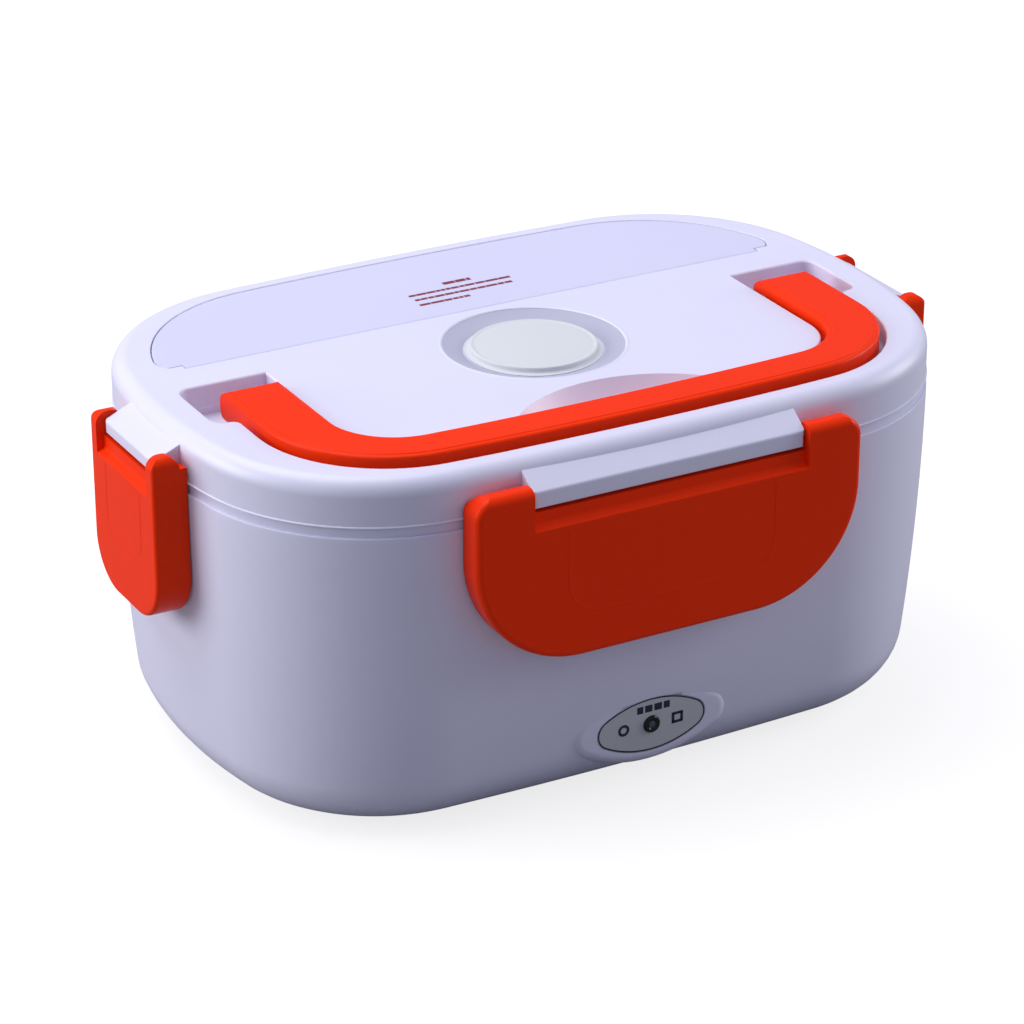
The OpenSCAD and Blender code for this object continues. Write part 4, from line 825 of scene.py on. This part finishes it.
# %% Clasp maker
CLASP_WALL, BAR_GAP, FAR = 2.4, 0.3, 12.0      # FAR: a cutter that passes right through
HOOK_LOW, HOOK_HIGH, BEAD_LOW, BEAD_HIGH = -17.4, -15.0, -14.5, -12.0


def upright(side):
    """A clasp's front view drawn as (x, height) and given depth."""
    return placed(side, lambda x, y, z: (x, z, y))


def clasp_plate(side):
    """The red plate of one clasp, with the gap for the bar, the step and the hollow back."""
    k = KINDS[side]
    half, bar, drop, face, ear = k["half"], k["bar"], k["drop"], k["face"], k["ear"]
    notch, back = k["low"] - 1.0, k["out"] + 3.0
    step = notch - 3.8
    outline = rounded([(-half, -drop, k["corner"]), (half, -drop, k["corner"]),
                       (half, ear, k["top"]), (-half, ear, k["top"])], 24)
    section = [(0.0, back)] + [(d, face + k["fold"] - rise) for d, rise in quarter(k["fold"], 6)]
    shape = loft(f"clasp_plate_{side}", stacked(outline, section, upright(side)), None, red_plastic)
    # the round ears and the side walls that run back to the box, seen from the side
    view = rounded([(face, -drop - 2, 0), (back + 1, -drop - 2, 0), (back + 1, 0, 0),
                    (ear, 0, 0), (ear, ear, ear - 0.1), (face, ear, ear - 0.1)], 12)
    cut(shape, prism("view", view, -half - 2, half + 2, place=placed(side, from_side)),
        operation="INTERSECT")
    cut(shape, prism("wall", bowed_outline(BODY, -0.3), 20, 120))
    # the gap for the hinge bar
    wide = bar + BAR_GAP
    gap = rounded([(-wide, notch, 0.6), (wide, notch, 0.6), (wide, FAR, 0), (-wide, FAR, 0)], 5)
    cut(shape, prism("gap", gap, -FAR, FAR, place=upright(side)))
    # the step under the bar: flat at the back, with a slope that comes out to the face
    slope = [(-FAR, step - 3.3), (face - 0.4, step - 1.2), (face + 0.1, step - 0.85),
             (face + 0.55, step - 0.5), (face + 1.55, step), (face + 1.95, step + 0.5),
             (face + 2.1, step + 1.1), (face + 2.1, 0.0), (-FAR, 0.0)]
    cut(shape, prism("step", slope, -wide, wide, place=placed(side, from_side)))
    # the hollow back
    hollow = dict.fromkeys((x, min(z, step - 1.6)) for x, z in grown(outline, -CLASP_WALL))
    cut(shape, prism("hollow", list(hollow), face + CLASP_WALL, FAR, place=upright(side)))
    # the lower rim ends short of the wall, which leaves room for a fingertip
    room = rectangle(-bar + 3, bar - 3, -drop - 3, 8 - drop)
    cut(shape, prism("room", room, k["out"] - 2.6, FAR, place=upright(side)))
    soften(shape, 30)
    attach(shape, f"clasp_{side}")
    return shape


def clasp_details(side):
    """The hook inside the clasp, the bead on the base that it catches, and the face's line."""
    k = KINDS[side]
    bar, face, out = k["bar"], k["face"], k["out"]
    hook_line = rectangle(-bar + 5, bar - 5, HOOK_LOW, HOOK_HIGH)
    soften(prism(f"hook_{side}", hook_line, face + 1.9, out - 2.5, f"clasp_{side}", red_plastic,
                 high_r=0.4, place=upright(side)))
    bead_line = rectangle(-bar + 4, bar - 4, BEAD_LOW, BEAD_HIGH, 0.8)
    soften(prism(f"catch_bead_{side}", bead_line, out - 2.3, out + 1.5, "base", white_plastic,
                 low_r=0.5, place=upright(side)))
    # a fine raised line frames the middle of the face
    panel_x, panel_low, panel_high, panel_r = k["panel"]
    line = rounded([(-panel_x, panel_low, panel_r), (panel_x, panel_low, panel_r),
                    (panel_x, panel_high, 1.5), (-panel_x, panel_high, 1.5)], 16)
    rows = [(0.0, face + 0.15), (0.12, face - 0.06), (0.38, face - 0.06), (0.5, face + 0.15)]
    soften(loft(f"face_line_{side}", stacked(line, rows, upright(side)), f"clasp_{side}",
                red_plastic, closed=True))


for side in KINDS:
    plate = clasp_plate(side)
    clasp_details(side)
    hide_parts(f"{side}_clasp")
print("four clasps, long ones", 2 * LONG["half"], "mm wide, end ones", 2 * END["half"], "mm")

# %% [markdown]
# ## Handle
# The handle is a flat U that lies in the groove and turns on two steel pins. All its edges have
# a radius of about a millimetre, so it is a loft whose first and last rings follow one. The ends
# of its arms are rounded as well, which gives them room to turn in the pockets.

# %% Carrying handle
ARM_BACK, ARM_END_R = 0.0, 3.4         # where the arms end, and their rounded ends
PIN_BORE_R, BORE_FROM, BORE_TO = 1.55, 74, 90.8
handle_line = u_outline(HANDLE_HX, HANDLE_REACH, HANDLE_R, HANDLE_HX - HANDLE_ARM,
                        HANDLE_REACH - HANDLE_BAR, HANDLE_IN_R, ARM_BACK)
section = lower_edge(HANDLE_LOW, 1.0) + upper_edge(HANDLE_TOP - 0.2, 0.9)
section += [(1.5, HANDLE_TOP - 0.2), (1.75, HANDLE_TOP)]      # a fine step round the top face
handle = loft("handle_moulding", stacked(handle_line, section), None, red_plastic)
round_from, low, top = ARM_BACK - 5, HANDLE_LOW, HANDLE_TOP
view = rounded([(-70, low - 1, 0), (round_from, low - 1, 0), (round_from, low, 0),
                (ARM_BACK, low, ARM_END_R), (ARM_BACK, top, ARM_END_R), (round_from, top, 0),
                (round_from, top + 1, 0), (-70, top + 1, 0)], 8)
cut(handle, prism("view", view, -95, 95, place=from_side), operation="INTERSECT")
bore = [(0, BORE_FROM), (PIN_BORE_R, BORE_FROM), (PIN_BORE_R, BORE_TO), (0, BORE_TO)]
for s in (-1, 1):
    cut(handle, lathe("bore", bore, steps=32,
                      place=lambda x, y, z: (s * z, PIVOT[0] + x, PIVOT[1] + y)))
soften(handle)
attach(handle, "handle")
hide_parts("carry_handle")
print("handle:", len(handle.data.polygons), "faces")

# %% [markdown]
# ## Spoon box cover and its print
# The cover is a thin half-moon plate that sits flush in its recess and hinges at its straight
# edge. Such covers carry a few lines of small print in a dull red. Here they are rows of short
# printed strokes with no lettering, and their lengths come from a seeded random draw.

# %% Spoon box cover
COVER_LOW, COVER_TOP = 105.4, 107.4
HINGE_Y, HINGE_Z, HINGE_R = 24.3, 106.4, 1.0
plate_line = notched(cover_outline(0.0, 23.3, COVER_R), CORNER_X + 1.0, 25.8)
plate = prism("cover_plate", plate_line, COVER_LOW, COVER_TOP, None, cover_plastic, 0.25, 0.3)
# seen from the side, the hinge edge is a half round, and the rest of the plate stays whole
flat_from, edge_y, low = HINGE_Y + 0.02, HINGE_Y - HINGE_R, HINGE_Z - HINGE_R
view = rounded([(edge_y, low, 0.98), (flat_from, low, 0), (flat_from, COVER_LOW - 1, 0),
                (90, COVER_LOW - 1, 0), (90, COVER_TOP + 1, 0), (flat_from, COVER_TOP + 1, 0),
                (flat_from, COVER_TOP, 0), (edge_y, COVER_TOP, 0.98)], 6)
cut(plate, prism("view", view, -110, 110, place=from_side), operation="INTERSECT")
soften(plate)
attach(plate, "spoon_cover")
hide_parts("spoon_box_cover")
print("cover plate:", len(plate.data.polygons), "faces")

# %% Print on the cover
PRINT_ROWS = ((-14.6, 18.8, 39.8, 1.3), (-14.4, 17.0, 36.3, 1.3),    # from x, to x, y, height
              (-14.9, 1.2, 32.4, 1.3), (-1.5, 7.4, 43.7, 1.8))
STROKE, SPACE = (1.2, 4.2), (0.18, 0.34)
INK_LOW, INK_TOP = COVER_TOP - 0.02, COVER_TOP + 0.03
BOX_FACES = ((3, 2, 1, 0), (4, 5, 6, 7), (0, 1, 5, 4), (1, 2, 6, 5), (2, 3, 7, 6), (3, 0, 4, 7))
random.seed(7)
points, faces = [], []
for x, row_end, y, height in PRINT_ROWS:
    while x < row_end - 1:
        width = min(random.uniform(*STROKE), row_end - x)
        start = len(points)
        points += [(px, py, z) for z in (INK_LOW, INK_TOP)
                   for px, py in rectangle(x, x + width, y, y + height)]
        faces += [tuple(start + i for i in face) for face in BOX_FACES]
        x += width + random.uniform(*SPACE)
piece("advice_print", points, faces, "spoon_cover", red_ink)
print("printed strokes:", len(faces) // len(BOX_FACES))

# %% [markdown]
# ## Steam plug
# A silicone plug closes the steam hole. It is turned on a lathe here because it is round: a
# slightly domed disc, a raised rim near its edge that shows as a bright thin line, and a stem.

# %% Steam plug
# radius and height, from the middle of the dome over the rim and down to the end of the stem
profile = [(0, 107.62), (6, 107.56), (12, 107.36), (15.2, 107.14), (16.3, 107.0), (16.7, 107.0),
           (17.0, 107.12), (17.3, 107.22), (17.6, 107.2), (17.85, 107.0), (17.95, 106.6),
           (18.0, 106.1), (18.3, 105.75), (19.4, 105.5), (19.3, 105.35), (7.7, 105.35),
           (7.7, 96.0), (7.2, 95.5), (0, 95.5)]
plug = soften(lathe("plug_moulding", profile, "plug", silicone, 128, place=at_vent), 40)
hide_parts("steam_plug")
print("plug disc:", 2 * max(r for r, z in profile), "mm across")

# %% [markdown]
# ## Lamp label
# The label keeps its construction node. Its print is drawn in real thin shapes: an outline, a
# small circle and a small square beside the lamp, and four plain bars above it. The lamp itself
# is a black bezel round a smaller frosted window.

# %% Label print and lamp
INK_OUT, INK_SUNK = -0.04, 0.02          # the ink stands out of the foil and starts inside it
CIRCLE_X, SQUARE_X, MARK_Y, CIRCLE_R = -8.8, 8.2, 0.1, 1.75
MARK_BARS = ((-4.6, 1.9), (-2.1, 2.3), (0.8, 2.4), (3.8, 1.9))      # left end and width
BAR_LOW, BAR_TOP = 3.9, 6.0


def printed_ring(name, outline, width):
    """A thin band of ink between an outline and its inset."""
    rows = [(0, INK_SUNK), (0, INK_OUT), (width, INK_OUT), (width, INK_SUNK)]
    loft(name, stacked(outline, rows, at_label), "base", navy_ink, closed=True)


circle = [(x + CIRCLE_X, y + MARK_Y) for x, y in arc(0, 0, CIRCLE_R, 0, 350, 35)]
square = [(x + SQUARE_X, y + MARK_Y) for x, y in rectangle(-1.8, 1.8, -1.7, 1.7, 0.2, 3)]
printed_ring("label_outline", label_outline(LABEL_A - 0.1, LABEL_B - 0.1), 0.42)
printed_ring("mark_circle", circle, 0.8)
printed_ring("mark_square", square, 0.85)
for i, (x, width) in enumerate(MARK_BARS):
    prism(f"mark_bar_{i}", rectangle(x, x + width, BAR_LOW, BAR_TOP), INK_OUT, INK_SUNK, "base",
          navy_ink, place=at_label)
print("label print made")

# %% Lamp
bezel = [(0, 4.2), (3.5, 4.2), (3.5, 3.5), (2.5, 3.5), (2.5, -0.35), (2.3, -0.6), (1.5, -0.6),
         (1.1, -0.3), (0, -0.3)]
lamp = soften(lathe("lamp_bezel", bezel, "base", lens_dark, 48, place=at_label))
window = [(0, 0.4), (1.05, 0.4), (1.05, -0.32), (0.8, -0.45), (0.4, -0.52), (0, -0.55)]
soften(lathe("lamp_window", window, "base", lens_clear, 32, place=at_label))
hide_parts("lamp_lens")
print("lamp:", 2 * max(r for r, z in bezel[3:]), "mm across where it shows")

# %% [markdown]
# ## Finishes for the pieces that stay as constructed
# The plain inner pieces are already the right shape, so each only gets the finish of what it is.

# %% Assign finishes
finishes = {
    "bottom_cover": white_plastic, "rubber_feet": foot_rubber, "cover_screws": steel,
    "heating_plate": aluminium, "ptc_heater": aluminium, "mica_pads": mica_tan,
    "heater_clamps": steel, "clamp_screws": steel, "thermal_cutoff": silicone,
    "power_inlet": black_plastic, "inlet_pins": brass, "heater_leads": lead_cover,
    "lamp_leads": lead_cover, "lamp_board": board_green, "lamp_led": silicone,
    "lamp_label": label_foil, "side_dish_box": tray_plastic, "side_dish_lid": red_plastic,
    "lid_liner": white_plastic, "lid_gasket": silicone, "clasp_pins": steel,
    "handle_pins": steel, "spoon": steel,
}
for name, finish in finishes.items():
    mesh = nodes[name].data
    mesh.materials.clear()
    mesh.materials.append(finish)
print("finished nodes:", len(finishes))

# %% [markdown]
# ## Floor, light and camera
# The box stands on a plain white sweep. To keep the sweep white without flooding the box with
# light, the floor adds its own brightness only where the camera sees it directly, while its
# diffuse part still takes the box's shadow. The sky does the same: white for the camera, a faint
# cool light for the box. A large soft lamp above and a weaker one on each side light the top and
# the ends and leave the front in soft shade.

# %% Floor
FLOOR_HALF, FLOOR_TOP, FLOOR_GLOW = 4000, -0.02, 0.8
corners = rectangle(-FLOOR_HALF, FLOOR_HALF, -FLOOR_HALF, FLOOR_HALF)
floor = piece("floor", [(x, y, FLOOR_TOP) for x, y in corners], [(0, 1, 2, 3)], None, None)
white_sweep = bpy.data.materials.new("white paper sweep")
white_sweep.use_nodes = True
tree = white_sweep.node_tree
tree.nodes.clear()
ray = node(tree, "ShaderNodeLightPath")
glow = node(tree, "ShaderNodeMath", {"operation": "MULTIPLY"})
tree.links.new(ray.outputs["Is Camera Ray"], glow.inputs[0])
glow.inputs[1].default_value = FLOOR_GLOW
paper = node(tree, "ShaderNodeBsdfDiffuse", {"Color": (0.28, 0.28, 0.29, 1)})
light = node(tree, "ShaderNodeEmission", {"Color": (1, 1, 1, 1)}, Strength=glow.outputs[0])
both = node(tree, "ShaderNodeAddShader")
tree.links.new(paper.outputs[0], both.inputs[0])
tree.links.new(light.outputs[0], both.inputs[1])
node(tree, "ShaderNodeOutputMaterial", Surface=both.outputs[0])
floor.data.materials.append(white_sweep)
print("floor laid")

# %% World and lamps
world = bpy.data.worlds.new("studio")
world.use_nodes = True
bpy.context.scene.world = world
tree = world.node_tree
tree.nodes.clear()
ray = node(tree, "ShaderNodeLightPath")
sky = node(tree, "ShaderNodeBackground", {"Color": (0.74, 0.78, 1.0, 1), "Strength": 0.34})
white = node(tree, "ShaderNodeBackground", {"Color": (1, 1, 1, 1), "Strength": 1.0})
pick = node(tree, "ShaderNodeMixShader")
tree.links.new(ray.outputs["Is Camera Ray"], pick.inputs[0])
tree.links.new(sky.outputs[0], pick.inputs[1])
tree.links.new(white.outputs[0], pick.inputs[2])
node(tree, "ShaderNodeOutputWorld", Surface=pick.outputs[0])


def lamp_at(name, where, target, size, power):
    """A rectangular soft lamp turned towards a target; metres and watts."""
    data = bpy.data.lights.new(name, "AREA")
    data.shape = "RECTANGLE"
    data.size, data.size_y = size
    data.energy = power
    obj = bpy.data.objects.new(name, data)
    obj.location = where
    obj.rotation_euler = (Vector(target) - Vector(where)).to_track_quat("-Z", "Y").to_euler()
    bpy.context.scene.collection.objects.link(obj)


TOP_SIZE, SIDE_SIZE = (1.2, 1.0), (0.8, 0.7)
lamp_at("top_softbox", (-0.28, 0.36, 1.27), (0, 0, 0.08), TOP_SIZE, 12.8)
lamp_at("left_softbox", (-1.2, 0.52, 0.45), (0, 0, 0.06), SIDE_SIZE, 10)
lamp_at("right_softbox", (1.3, -0.25, 0.5), (0, 0, 0.06), SIDE_SIZE, 8.5)

# %% Camera
# a long lens from a little over a metre away, so the box's edges run almost parallel
camera = bpy.data.cameras.new("camera")
camera.lens = 132.76
camera.sensor_width = 36.0
eye = bpy.data.objects.new("camera", camera)
eye.location = (-0.47248, -0.84992, 0.50687)
aim = Vector((-0.00262, 0.00137, 0.05300)) - eye.location
eye.rotation_euler = aim.to_track_quat("-Z", "Y").to_euler()
bpy.context.scene.collection.objects.link(eye)
bpy.context.scene.camera = eye
bpy.context.scene.view_settings.view_transform = "Standard"
print("camera", round(aim.length, 3), "m from the box")
